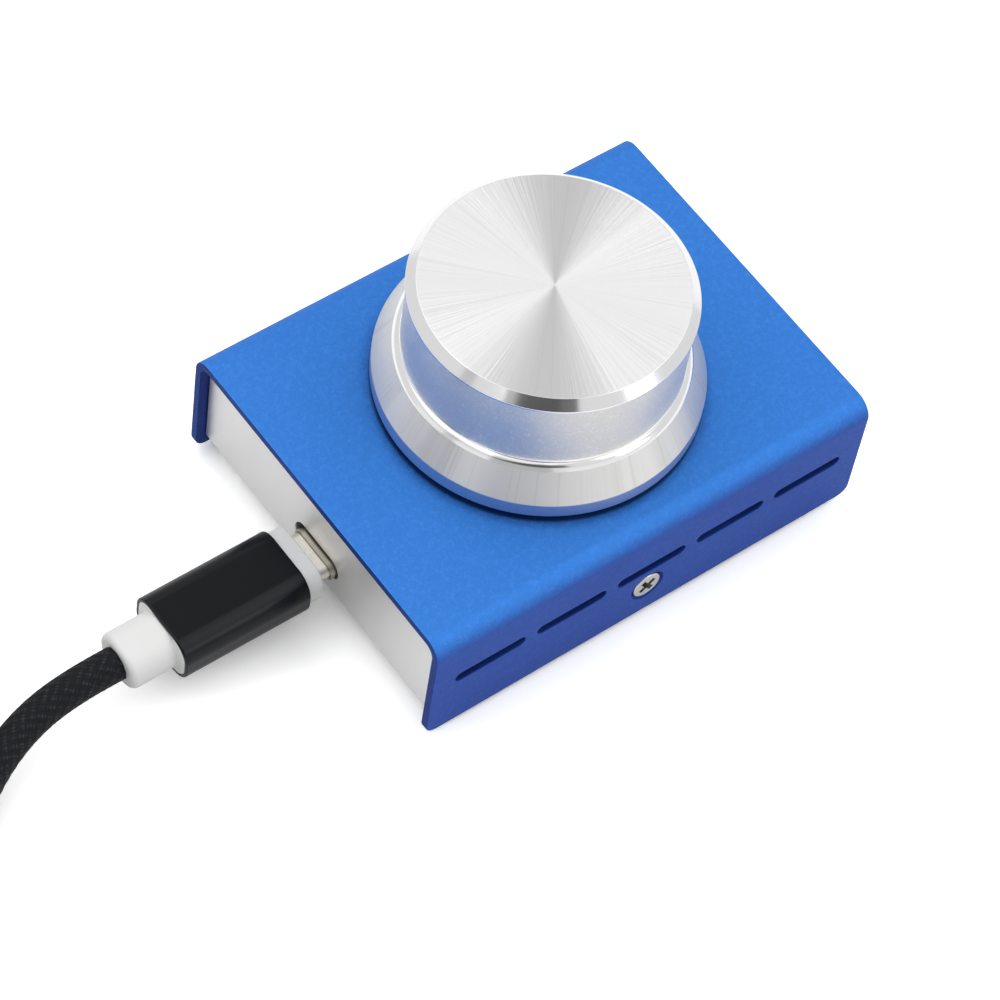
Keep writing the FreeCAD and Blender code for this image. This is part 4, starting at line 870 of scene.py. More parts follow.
@dataclass
class FoldedSheet:
    """Sheet metal cut flat and folded down at both sides of a middle panel.

    The flat plate has its length along X and its developed width along Y, in millimetres, seen from outside.
    """

    name: str
    length: float
    half_width: float
    leg: float
    sheet: float
    bend: float
    corner: float
    edge: float
    bend_steps: int = 10
    holes: list[list[Point2]] = field(default_factory=list)

    @property
    def flat(self) -> float:
        """Half width of the panel between its bends."""
        return self.half_width - self.bend

    @property
    def arc(self) -> float:
        """Length of the bend at the middle of the sheet."""
        return (self.bend - self.sheet / 2) * math.pi / 2

    def developed(self, below: float) -> float:
        """Place on the flat plate of a point of the leg, by its distance below the panel's outside."""
        return self.flat + self.arc + below - self.bend

    def fold(self, point: Vector) -> Vector:
        """Where a point of the flat plate goes when the legs are folded down.

        Args:
            point: A point of the flat plate.

        Returns:
            Its place on the folded sheet.
        """
        side = math.copysign(1.0, point.y)
        reach, lift = abs(point.y), point.z
        middle = self.bend - self.sheet / 2
        if reach <= self.flat:
            return Vector((point.x, point.y, lift - self.sheet / 2))
        if reach < self.flat + self.arc:
            turn = (reach - self.flat) / middle
            across = self.flat + (middle + lift) * math.sin(turn)
            return Vector((point.x, side * across, (middle + lift) * math.cos(turn) - self.bend))
        drop = reach - self.flat - self.arc
        return Vector((point.x, side * (self.half_width - self.sheet / 2 + lift), -self.bend - drop))

    def build(self, finish: Finish, place: Matrix) -> Piece:
        """Cut the plate with softened edges, fold it and put it in place.

        Args:
            finish: The sheet's finish.
            place: From the panel's own frame, its outside at Z = 0, to the object's, in millimetres.

        Returns:
            The folded piece.
        """
        reach = self.developed(self.leg)
        outline = rounded([(sx * self.length / 2, sy * reach, self.corner) for sx, sy in ROUND], 12.0)
        mesh = plate(self.name, [outline, *self.holes], self.sheet, self.edge)
        shape = bmesh.new()
        shape.from_mesh(mesh)
        for side in (-1, 1):
            for step in range(self.bend_steps + 1):
                line = side * (self.flat + self.arc * step / self.bend_steps)
                bmesh.ops.bisect_plane(shape, geom=[*shape.verts, *shape.edges, *shape.faces],
                                       plane_co=(0, line, 0), plane_no=(0, 1, 0), dist=1e-5)
        for vertex in shape.verts:
            vertex.co = (place @ self.fold(vertex.co)) * MM
        bmesh.ops.recalc_face_normals(shape, faces=shape.faces)
        shade(to_mesh(shape, mesh), SHEET_EDGE)
        return dress(mesh, self.name, [finish])


def plate(name: str, outlines: Sequence[Sequence[Point2]], thick: float, edge: float) -> bpy.types.Mesh:
    """A flat plate with holes and softened edges, round Z = 0, from outlines in millimetres.

    Args:
        name: The mesh's name.
        outlines: The rim first, then the holes.
        thick: The plate's thickness.
        edge: Radius of its softened edges.

    Returns:
        The plate's mesh, still in millimetres.
    """
    curve = bpy.data.curves.new(name, "CURVE")
    curve.dimensions = "2D"
    curve.fill_mode = "BOTH"
    curve.extrude = thick / 2 - edge
    curve.bevel_depth = edge
    curve.bevel_resolution = 1
    curve.offset = -edge
    for outline in outlines:
        spline = curve.splines.new("POLY")
        spline.points.add(len(outline) - 1)
        for point, (x, y) in zip(spline.points, outline):
            point.co = (x, y, 0.0, 1.0)
        spline.use_cyclic_u = True
    holder = in_scene(name, curve)
    mesh = evaluated(holder)
    bpy.data.objects.remove(holder)
    bpy.data.curves.remove(curve)
    shape = bmesh.new()
    shape.from_mesh(mesh)
    bmesh.ops.remove_doubles(shape, verts=shape.verts, dist=1e-4)
    to_mesh(shape, mesh)
    mesh.name = name
    mesh.materials.clear()
    return mesh


def moved(piece: Piece, place: Matrix) -> Piece:
    """The piece with its mesh put in place by a matrix whose shift is in millimetres.

    Args:
        piece: The piece to move.
        place: Its turn and its shift in millimetres.

    Returns:
        The same piece.
    """
    turn = place.copy()
    turn.translation = place.translation * MM
    piece.data.transform(turn)
    return piece


def weigh_normals(piece: Piece) -> None:
    """Keep large flat faces flat where they meet small rounded edges.

    Args:
        piece: The piece to shade.
    """
    weigher = piece.modifiers.new("even_shading", "WEIGHTED_NORMAL")
    weigher.keep_sharp = True
    weigher.weight = 100


def cut_out(piece: Piece, tool: Piece) -> None:
    """Cut a tool's shape out of a piece and drop the tool.

    Args:
        piece: The piece to cut.
        tool: The piece whose shape is cut away.
    """
    cutter = piece.modifiers.new("cut", "BOOLEAN")
    cutter.operation = "DIFFERENCE"
    cutter.solver = "EXACT"
    cutter.material_mode = "TRANSFER"
    cutter.object = tool
    mesh = evaluated(piece)
    piece.modifiers.remove(cutter)
    piece.data = mesh
    bpy.data.objects.remove(tool)


def joined(name: str, pieces: Sequence[Piece]) -> Piece:
    """One piece out of several, with the finishes of them all.

    Args:
        name: The new piece's name.
        pieces: The pieces to join, which are dropped.

    Returns:
        The new piece.
    """
    slots: list[bpy.types.Material] = []
    shape = bmesh.new()
    for piece in pieces:
        before = len(shape.faces)
        shape.from_mesh(piece.data)
        shape.faces.ensure_lookup_table()
        numbers = []
        for material in piece.data.materials:
            if material not in slots:
                slots.append(material)
            numbers.append(slots.index(material))
        for face in shape.faces[before:]:
            face.material_index = numbers[face.material_index]
        bpy.data.objects.remove(piece)
    whole = to_mesh(shape, bpy.data.meshes.new(name))
    for material in slots:
        whole.materials.append(material)
    made = in_scene(name, whole)
    weigh_normals(made)
    return made


def settle(piece: Piece, body: str, slot: str, *nodes: str) -> Piece:
    """Let a piece stand for CAD nodes and ride on a body, and report it.

    Args:
        piece: The piece.
        body: The body it rides on.
        slot: Name of its material slot; not used.
        nodes: The CAD nodes it stands for.

    Returns:
        The same piece.
    """
    if nodes:
        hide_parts(*nodes)
    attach(piece, body)
    LOG.info("%s rides on %s in place of %s", piece.name, body, ", ".join(nodes) or "nothing")
    return piece


def coat(finish: Finish, *nodes: str) -> None:
    """Give CAD nodes a finish.

    Args:
        finish: The finish.
        nodes: The nodes it goes on.
    """
    for name in nodes:
        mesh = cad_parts[name].data
        if not mesh.materials:
            mesh.materials.append(None)
        for index in range(len(mesh.materials)):
            mesh.materials[index] = finish.material()
        LOG.info("%s is finished in %s", name, finish.name)


# ---------------------------------------------------------------- studio


@dataclass(frozen=True)
class Panel:
    """A soft rectangular part of the surroundings that is brighter or darker than the rest.

    Angles are in degrees: azimuth 0 lies towards -Y and 90 towards +X. The gain multiplies the level inside.
    """

    azimuth: float
    half_width: float
    low: float
    high: float
    gain: float
    soft: float

    def mask(self, graph: Graph, way: Sock) -> Sock:
        """1 inside the panel, 0 outside, by the direction looked in.

        Args:
            graph: The world's graph.
            way: The direction looked in.

        Returns:
            The mask.
        """
        x, y, z = graph.split(way)
        turn = math.radians(self.azimuth)
        beside = (x * math.sin(turn) - y * math.cos(turn)) / graph.reach(x, y)
        rim = math.cos(math.radians(min(179.0, self.half_width + self.soft)))
        inside = graph.smooth(beside, rim, math.cos(math.radians(self.half_width)))
        above = graph.smooth(z, self.height(self.low - self.soft), self.height(self.low))
        below = graph.smooth(z, self.height(self.high), self.height(self.high + self.soft))
        return inside * above * (1.0 - below)

    def height(self, elevation: float) -> float:
        """The Z of a direction at an elevation, past the ends of the range for soft edges.

        Args:
            elevation: The elevation, in degrees.

        Returns:
            The direction's Z.
        """
        beyond = 1.1
        if abs(elevation) <= 90.0:
            return math.sin(math.radians(elevation))
        return math.copysign(beyond, elevation)


@dataclass
class Studio:
    """Camera, light, surroundings and floor; eye, lens and sensor are in millimetres, the rest in metres."""

    eye: Point3 = (-232.06, -229.27, 470.11)
    right: Point3 = (0.8017, -0.5888, 0.1027)
    up: Point3 = (0.4455, 0.7032, 0.5541)
    lens: float = 143.4
    sensor: float = 36.0
    sky: float = 0.76
    floor_tone: float = 0.58
    floor_mirrored: float = 1.0
    floor_seen: float = 1.60
    floor_reach: float = 3.0
    softbox_power: float = 2.4
    softbox_side: float = 1.3
    softbox_place: Point3 = (-0.55, -0.05, 1.1)
    panels: tuple[Panel, ...] = (
        # The bright sides of the knob's face, and its two darker wedges.
        Panel(65.0, 45.0, 46.0, 68.0, 2.15, 12.0),
        Panel(-155.0, 45.0, 46.0, 68.0, 2.15, 12.0),
        Panel(135.0, 15.0, -10.0, 84.0, 0.65, 2.0),
        Panel(-45.0, 18.0, -5.0, 80.0, 0.62, 3.0),
        # The dark stretch of the polished crown, and a dim strip on the cone's left.
        Panel(-39.0, 25.0, 33.0, 50.0, 0.20, 1.5),
        Panel(-93.0, 3.5, -5.0, 40.0, 0.72, 2.0),
        # Light on both sides of the cone, and a glint on the crown and the sleeve's edge.
        Panel(13.0, 27.0, 0.0, 22.0, 1.15, 5.0),
        Panel(29.0, 6.0, 20.0, 32.0, 4.2, 4.0),
        Panel(-93.0, 26.0, 6.0, 20.0, 1.15, 4.0),
    )

    def place_camera(self) -> None:
        """Set the camera."""
        right = Vector(self.right).normalized()
        back = right.cross(Vector(self.up)).normalized()
        up = back.cross(right)
        camera = bpy.data.cameras.new("camera")
        camera.lens, camera.sensor_width = self.lens, self.sensor
        camera.clip_start, camera.clip_end = 0.01, 20.0
        holder = in_scene("camera", camera)
        aim = Matrix((right, up, back)).transposed().to_4x4()
        holder.matrix_world = Matrix.Translation(Vector(self.eye) * MM) @ aim
        bpy.context.scene.camera = holder

    def make_world(self) -> None:
        """Even surroundings with brighter and darker panels; the background itself is white."""
        world = bpy.data.worlds.new("studio")
        world.use_nodes = True
        bpy.context.scene.world = world
        graph = Graph(world.node_tree)
        way = graph.add("ShaderNodeTexCoord", {}, {}, "Generated")
        level: Value = self.sky
        for panel in self.panels:
            level = (panel.mask(graph, way) * (panel.gain - 1.0) + 1.0) * level
        white = (1.0, 1.0, 1.0)
        light, plain = (graph.add("ShaderNodeBackground", {}, {"Color": white, "Strength": strength})
                        for strength in (level, 1.0))
        seen = graph.add("ShaderNodeLightPath", {}, {}, "Is Camera Ray")
        shown = graph.add("ShaderNodeMixShader", {}, {0: seen, 1: light, 2: plain})
        graph.add_output("ShaderNodeOutputWorld", shown)

    def make_lights(self) -> None:
        """One large soft box overhead."""
        lamp = bpy.data.lights.new("softbox", "AREA")
        lamp.shape, lamp.size, lamp.energy = "SQUARE", self.softbox_side, self.softbox_power
        in_scene("softbox", lamp).location = self.softbox_place

    def make_floor(self) -> None:
        """A pale floor that keeps the shadow and looks white to the eye and in reflections."""
        mesh = bpy.data.meshes.new("floor")
        corners = [(sx * self.floor_reach, sy * self.floor_reach, 0.0) for sx, sy in ROUND]
        mesh.from_pydata(corners, [], [(0, 1, 2, 3)])
        floor = in_scene("floor", mesh)
        material = bpy.data.materials.new("floor")
        material.use_nodes = True
        graph = Graph(material.node_tree)
        seen = graph.add("ShaderNodeLightPath", {}, {}, "Is Camera Ray")
        mirrored = graph.larger(seen.of("Is Glossy Ray"), seen.of("Is Transmission Ray"))
        tone = self.floor_tone + mirrored * (self.floor_mirrored - self.floor_tone)
        tone = tone + seen * (self.floor_seen - self.floor_tone)
        matt = graph.add("ShaderNodeBsdfDiffuse", {}, {"Color": graph.join(tone, tone, tone)})
        graph.add_output("ShaderNodeOutputMaterial", matt)
        mesh.materials.append(material)

    def build(self) -> None:
        """Set up the whole studio."""
        self.place_camera()
        self.make_world()
        self.make_lights()
        self.make_floor()
        bpy.context.scene.view_settings.view_transform = "Standard"
        LOG.info("studio is set")


# ---------------------------------------------------------------- lead


class Row(Enum):
    """The rows of turns in the coil, from the surface up."""

    BOTTOM = 0
    MIDDLE = 1
    CROWN = 2


@dataclass
class Lead:
    """Braided lead: from the plug to the coil, round it, and on to the computer-end plug.

    Sizes are in millimetres, apart from the whole length in metres, and angles in degrees.
    """

    diameter: float = 5.0
    middle: Point2 = (-130.0, 2.0)
    radius: float = 25.4
    lift: float = 0.62
    first_angle: float = -60.0
    change: float = 40.0
    points_a_turn: int = 24
    length: float = 0.975
    fine_step: float = 0.3
    coarse_step: float = 0.8
    fine_length: float = 60.0
    around: int = 40
    braid_dip: float = 0.13
    exit_route: tuple[Point3, ...] = (
        (-69.1, 0.0, 8.45),
        (-75.8, 0.2, 8.3),
        (-84.2, -0.7, 7.1),
        (-92.3, -4.0, 5.3),
        (-99.8, -9.8, 3.7),
        (-106.7, -17.4, 3.0),
        (-114.8, -24.3, 3.1),
    )
    tail_route: tuple[Point3, ...] = (
        (-154.5, 8.6, 11.8),
        (-150.3, 17.9, 12.2),
        (-144.7, 26.8, 12.1),
        (-137.5, 33.3, 10.1),
        (-129.2, 38.0, 7.0),
        (-120.4, 40.5, 4.6),
        (-112.0, 41.0, 4.1),
    )

    def turns(self) -> list[tuple[float, float, Row]]:
        """Where each turn starts, as degrees wound, its steps out from the middle in diameters, and its row.

        A turn changes to the next place over the last stretch before it is due. Each change of row comes one
        stretch earlier than the last, so that no two strands change in the same place.

        Returns:
            The turns in order.
        """
        whole, early = 360.0, self.change
        return [
            (0.0, 1.0, Row.BOTTOM),
            (whole, 0.0, Row.BOTTOM),
            (2 * whole, -1.0, Row.BOTTOM),
            (3 * whole - early, -0.5, Row.MIDDLE),
            (4 * whole - 2 * early, 0.5, Row.MIDDLE),
            (5 * whole - 3 * early, 0.0, Row.CROWN),
        ]

    def coil(self) -> list[Point3]:
        """Points of the coil's turns, worked out turn by turn, in millimetres.

        Returns:
            The points in order.
        """
        row_step = self.diameter * math.sqrt(3) / 2
        stretch = 360.0 / self.points_a_turn
        end = self.first_angle - math.degrees(math.atan2(
            self.tail_route[0][1] - self.middle[1], self.tail_route[0][0] - self.middle[0]))
        last = 5 * 360.0 + end % 360.0
        # A control point stands a little outside the curve that it shapes.
        outside = 1.0 / math.cos(math.radians(stretch / 2))
        points = []
        wound = stretch
        turns = self.turns()
        while wound < last - stretch / 2:
            steps, rows = 1.0, 0.0
            for (_, from_steps, from_row), (due, to_steps, to_row) in zip(turns, turns[1:]):
                share = min(1.0, max(0.0, (wound - due + self.change) / self.change))
                share = share * share * (3 - 2 * share)
                if share > 0.0:
                    steps = from_steps + (to_steps - from_steps) * share
                    rows = from_row.value + (to_row.value - from_row.value) * share
            angle = self.first_angle - wound
            radius = (self.radius + steps * self.diameter) * outside
            height = self.lift + self.diameter / 2 + rows * row_step + self.hump(angle, rows)
            points.append((self.middle[0] + radius * math.cos(math.radians(angle)),
                           self.middle[1] + radius * math.sin(math.radians(angle)), height))
            wound += stretch
        return points

    def hump(self, angle: float, rows: float) -> float:
        """Extra height of an upper row where strands below it, or it itself, change places.

        Args:
            angle: Where the strand is round the coil, in degrees.
            rows: How many rows up it lies.

        Returns:
            The height in millimetres.
        """
        climb = self.diameter * (1 - math.sqrt(3) / 2)
        narrowing = 2.4
        total = 0.0
        for middle, share in ((self.first_angle + self.change / 2, min(1.0, rows)),
                              (self.first_angle + 2.5 * self.change, rows)):
            away = (angle - middle + 180.0) % 360.0 - 180.0
            total += share * climb * max(0.0, math.cos(math.radians(min(90.0, abs(away) * narrowing))))
        return total

    def spine(self) -> list[Vector]:
        """The lead's middle line, read from one smooth spline through its route.

        Returns:
            Points of the line, in metres.
        """
        route = [*self.exit_route, *self.coil(), *self.tail_route]
        curve = bpy.data.curves.new("lead_route", "CURVE")
        curve.dimensions = "3D"
        curve.resolution_u = 12
        spline = curve.splines.new("NURBS")
        spline.points.add(len(route) - 1)
        for point, place in zip(spline.points, route):
            point.co = (*(part * MM for part in place), 1.0)
        spline.order_u = 3
        spline.use_endpoint_u = True
        holder = in_scene("lead_route", curve)
        mesh = evaluated(holder)
        line = [vertex.co.copy() for vertex in mesh.vertices]
        bpy.data.objects.remove(holder)
        bpy.data.meshes.remove(mesh)
        return line

    def stations(self, line: Sequence[Vector]) -> list[tuple[Vector, float]]:
        """Stations along the line, close together over its first stretch and wider apart after it.

        Args:
            line: The spline's points.

        Returns:
            Each station's place and its distance from the start.
        """
        fine, coarse, fine_length = self.fine_step * MM, self.coarse_step * MM, self.fine_length * MM
        found = [(line[0].copy(), 0.0)]
        wanted, passed = fine, 0.0
        for here, there in zip(line, line[1:]):
            run = (there - here).length
            while run > 0.0 and passed + run >= wanted:
                found.append((here.lerp(there, (wanted - passed) / run), wanted))
                wanted += fine if wanted < fine_length else coarse
            passed += run
        found.append((line[-1].copy(), passed))
        return found

    def tube(self, stations: Sequence[tuple[Vector, float]]) -> Piece:
        """A tube with woven relief and coordinates around and along it.

        Args:
            stations: Places and distances along the lead.

        Returns:
            The tube.
        """
        shape = bmesh.new()
        map_layer = shape.loops.layers.uv.new("braid")
        side = Vector((0.0, 1.0, 0.0))
        rows: list[list[bmesh.types.BMVert]] = []
        for index, (place, distance) in enumerate(stations):
            before = stations[max(0, index - 1)][0]
            after = stations[min(len(stations) - 1, index + 1)][0]
            heading = (after - before).normalized()
            side = (side - heading * side.dot(heading)).normalized()
            other = heading.cross(side)
            row = []
            for k in range(self.around):
                turn = 2 * math.pi * k / self.around
                radius = (self.diameter / 2 - self.relief(k / self.around, distance / MM)) * MM
                spoke = side * math.cos(turn) + other * math.sin(turn)
                row.append(shape.verts.new(place + spoke * radius))
            rows.append(row)
        for index, (low, high) in enumerate(zip(rows, rows[1:])):
            start, stop = stations[index][1] / MM, stations[index + 1][1] / MM
            for k in range(self.around):
                after = (k + 1) % self.around
                face = shape.faces.new((low[k], low[after], high[after], high[k]))
                spots = ((k, start), (k + 1, start), (k + 1, stop), (k, stop))
                for loop, (step, distance) in zip(face.loops, spots):
                    loop[map_layer].uv = (step / self.around, distance)
        for row in (rows[0][::-1], rows[-1]):
            shape.faces.new(row)
        bmesh.ops.recalc_face_normals(shape, faces=shape.faces)
        mesh = to_mesh(shape, bpy.data.meshes.new("braided_lead"))
        mesh.polygons.foreach_set("use_smooth", [True] * len(mesh.polygons))
        return dress(mesh, "braided_lead", [BRAID])

    def relief(self, around: float, along: float) -> float:
        """How far the braid dips below its full radius, in millimetres.

        Args:
            around: Share of the way round the tube.
            along: Millimetres along it.

        Returns:
            The dip.
        """
        first = (around * BRAID.strands + along / BRAID.step) % 1.0
        second = (around * BRAID.strands - along / BRAID.step) % 1.0
        crown = max(math.sin(math.pi * first), math.sin(math.pi * second))
        return self.braid_dip * (1.0 - crown)

    def build(self, with_pieces: Sequence[Union[str, Piece]]) -> None:
        """Args:
            with_pieces: The plugs' pieces and the tie; not used.
        """
        stations = self.stations(self.spine())
        lead = self.tube(stations)
        settle(lead, "case", "cord_braid", "cord_lead", "cord_coil", "cord_tail")


# ---------------------------------------------------------------- case


@dataclass
class Case:
    """Folded cover over a folded chassis, with the screws that join them and the feet, in millimetres."""

    length: float = 75.0
    half_width: float = 28.8
    top: float = 22.4
    bottom: float = 1.3
    sheet: float = 1.3
    bend: float = 3.0
    flange_corner: float = 1.8
    shaft_hole: float = 4.5
    slot_size: Point2 = (11.8, 1.8)
    slot_pitch: float = 13.87
    slot_count: int = 5
    slot_level: float = 12.5
    screw_level: float = 7.6
    screw_head: float = 2.65
    screw_shank: float = 1.5
    screw_length: float = 6.0
    screw_hole: float = 1.7
    head_play: float = 0.1
    head_sink: float = 0.05
    head_round: float = 0.24
    neck_round: float = 0.1
    tip_round: float = 0.2
    cross_span: float = 2.9
    cross_turn: float = 38.0
    cross_width: float = 0.78
    cross_depth: float = 1.1
    end_face: float = 36.0
    chassis_side: float = 27.35
    chassis_sheet: float = 1.2
    chassis_bend: float = 1.6
    chassis_corner: float = 1.7
    base_level: float = 2.5
    end_top: float = 20.95
    port_size: Point2 = (10.2, 4.1)
    port_place: Point2 = (0.3, 8.45)
    stud_hole: float = 2.1
    stud_places: tuple[float, float] = (-30.4, 19.6)
    stud_side: float = 16.0
    tab_width: float = 14.0
    tab_top: float = 11.1
    tab_corner: float = 0.8
    thread_play: float = 0.02
    foot_radius: float = 4.0
    foot_round: float = 0.6
    foot_edge: float = 0.1
    foot_hollow: float = 0.25
    foot_contact: float = 2.48
    foot_place: Point2 = (28.0, 19.35)
    edge: float = 0.13

    def build_cover(self) -> None:
        """The cover with its slots, the shaft's hole and its countersunk screw holes."""
        sheet = FoldedSheet("folded_cover", self.length, self.half_width, self.top - self.bottom, self.sheet,
                            self.bend, self.flange_corner, self.edge)
        sheet.holes.append(circle(self.shaft_hole))
        for side in (-1, 1):
            level = side * sheet.developed(self.top - self.slot_level)
            for number in range(self.slot_count):
                x = (number - (self.slot_count - 1) / 2) * self.slot_pitch
                slot = rounded_box(*self.slot_size, self.slot_size[1] / 2)
                sheet.holes.append([(x + u, level + v) for u, v in slot])
            wide = self.screw_head + self.head_play
            sheet.holes.append(circle(wide, 0.0, side * sheet.developed(self.top - self.screw_level)))
        pieces = [sheet.build(COVER_BLUE, Matrix.Translation((0, 0, self.top)))]
        for side in (-1, 1):
            pieces.append(self.countersink(side))
        settle(joined("folded_cover", pieces), "case", "cover_blue", "top_cover")

    def countersink(self, side: int) -> Piece:
        """The sloping wall of a screw hole in one flange.

        Args:
            side: 1 for the flange at +Y, -1 for the one at -Y.

        Returns:
            The wall.
        """
        wide, narrow = self.screw_head + self.head_play, self.screw_hole
        wall = [(wide, -self.edge), (narrow, narrow - wide), (narrow, -self.sheet), (wide, -self.sheet)]
        return moved(lathe("countersink", wall, [COVER_BLUE], closed=True), self.flange_frame(side, 0.0))

    def flange_frame(self, side: int, sink: float) -> Matrix:
        """From a screw's own frame, +Z out of the head, to its place on one flange."""
        turn = Matrix.Rotation(math.radians(-90.0 * side), 4, "X")
        return Matrix.Translation((0, side * (self.half_width - sink), self.screw_level)) @ turn

    def build_chassis(self) -> None:
        """The chassis: base, two end plates with the port in one of them, and the tabs for the screws."""
        sheet = FoldedSheet("folded_chassis", 2 * self.chassis_side, self.end_face,
                            self.end_top - self.base_level, self.chassis_sheet, self.chassis_bend,
                            self.chassis_corner, self.edge)
        across, level = self.port_place
        port = rounded_box(*self.port_size, self.port_size[1] / 2, 7.5)
        drop = -sheet.developed(level - self.base_level)
        sheet.holes.append([(across + u, drop + v) for u, v in port])
        for x in self.stud_places:
            for side in (-1, 1):
                sheet.holes.append(circle(self.stud_hole, side * self.stud_side, x))
        over = Matrix(((0, 1, 0, 0), (1, 0, 0, 0), (0, 0, -1, self.base_level), (0, 0, 0, 1)))
        pieces = [sheet.build(CHASSIS_SILVER, over)]
        foot = self.base_level + self.chassis_sheet - self.edge
        height = self.tab_top - foot
        middle = (self.tab_top + foot) / 2
        for side in (-1, 1):
            outline = rounded_box(self.tab_width, height, self.tab_corner)
            thread = circle(self.screw_shank + self.thread_play, 0.0, self.screw_level - middle)
            upright = Matrix.Translation((0, side * (self.chassis_side - self.chassis_sheet / 2), middle))
            upright = upright @ Matrix.Rotation(math.radians(90.0), 4, "X")
            mesh = plate("tab", [outline, thread], self.chassis_sheet, self.edge)
            mesh.transform(Matrix.Scale(MM, 4) @ upright)
            shade(mesh, SHEET_EDGE)
            pieces.append(dress(mesh, "tab", [CHASSIS_SILVER]))
        settle(joined("folded_chassis", pieces), "case", "chassis_silver", "base_chassis")

    def build_screws(self) -> None:
        """Two countersunk screws with a tapered cross recess."""
        pieces = []
        for side in (-1, 1):
            profile = traced([(0.0, 0.0, 0.0), (self.screw_head, 0.0, self.head_round),
                              (self.screw_shank, self.screw_shank - self.screw_head, self.neck_round),
                              (self.screw_shank, -self.screw_length, self.tip_round),
                              (0.0, -self.screw_length, 0.0)], False)
            screw = lathe("side_screw", [point for point, _ in profile], [NICKEL], steps=64)
            # The recess's walls take the tool's near-black finish, as painted shade.
            cut_out(screw, self.cross_tool())
            shade(screw.data, TURNED_EDGE)
            pieces.append(moved(screw, self.flange_frame(side, self.head_sink)))
        settle(joined("countersunk_screws", pieces), "case", "screw_nickel", "side_screws")

    def cross_tool(self) -> Piece:
        """The shape of a screwdriver's tip, which narrows downwards.

        Returns:
            The tool.
        """
        rings = []
        # Each level of the recess, and its share of the full span there.
        for level, share in ((0.5, 1.12), (0.0, 1.0), (-self.cross_depth, 0.42)):
            reach, half = self.cross_span / 2 * share, self.cross_width / 2 * (0.4 + 0.6 * share)
            arm = [(reach, -half), (reach, half), (half, half)]
            ring = []
            for quarter in range(4):
                turn = Matrix.Rotation(math.radians(self.cross_turn + 90.0 * quarter), 2)
                for point in arm:
                    x, y = turn @ Vector(point)
                    ring.append(Vector((x, y, level)) * MM)
            rings.append(ring)
        return swept("cross_tool", rings, [SHADED_RECESS])

    def build_feet(self) -> None:
        """Four rubber feet, slightly hollow underneath."""
        pieces = []
        profile = traced([(0.0, self.foot_hollow, 0.0), (self.foot_contact, 0.0, 2 * self.foot_round),
                          (self.foot_radius, 0.0, self.foot_round),
                          (self.foot_radius, self.base_level, self.foot_edge),
                          (0.0, self.base_level, 0.0)], False)
        for sx in (-1, 1):
            for sy in (-1, 1):
                foot = lathe("foot", [point for point, _ in profile], [FOOT_RUBBER])
                place = Matrix.Translation((sx * self.foot_place[0], sy * self.foot_place[1], 0))
                pieces.append(moved(foot, place))
        settle(joined("stick_on_feet", pieces), "case", "foot_rubber", "rubber_feet")

    def build(self) -> None:
        """Make the case."""
        self.build_cover()
        self.build_chassis()
        self.build_screws()
        self.build_feet()


# ---------------------------------------------------------------- knob


class Turned(IntEnum):
    """The surfaces of the knob, numbered in the order of its finishes."""

    FACE = 0
    CROWN = 1
    LAND = 2
    WALL = 3
    CONE = 4
    INSIDE = 5
    LIP = 6


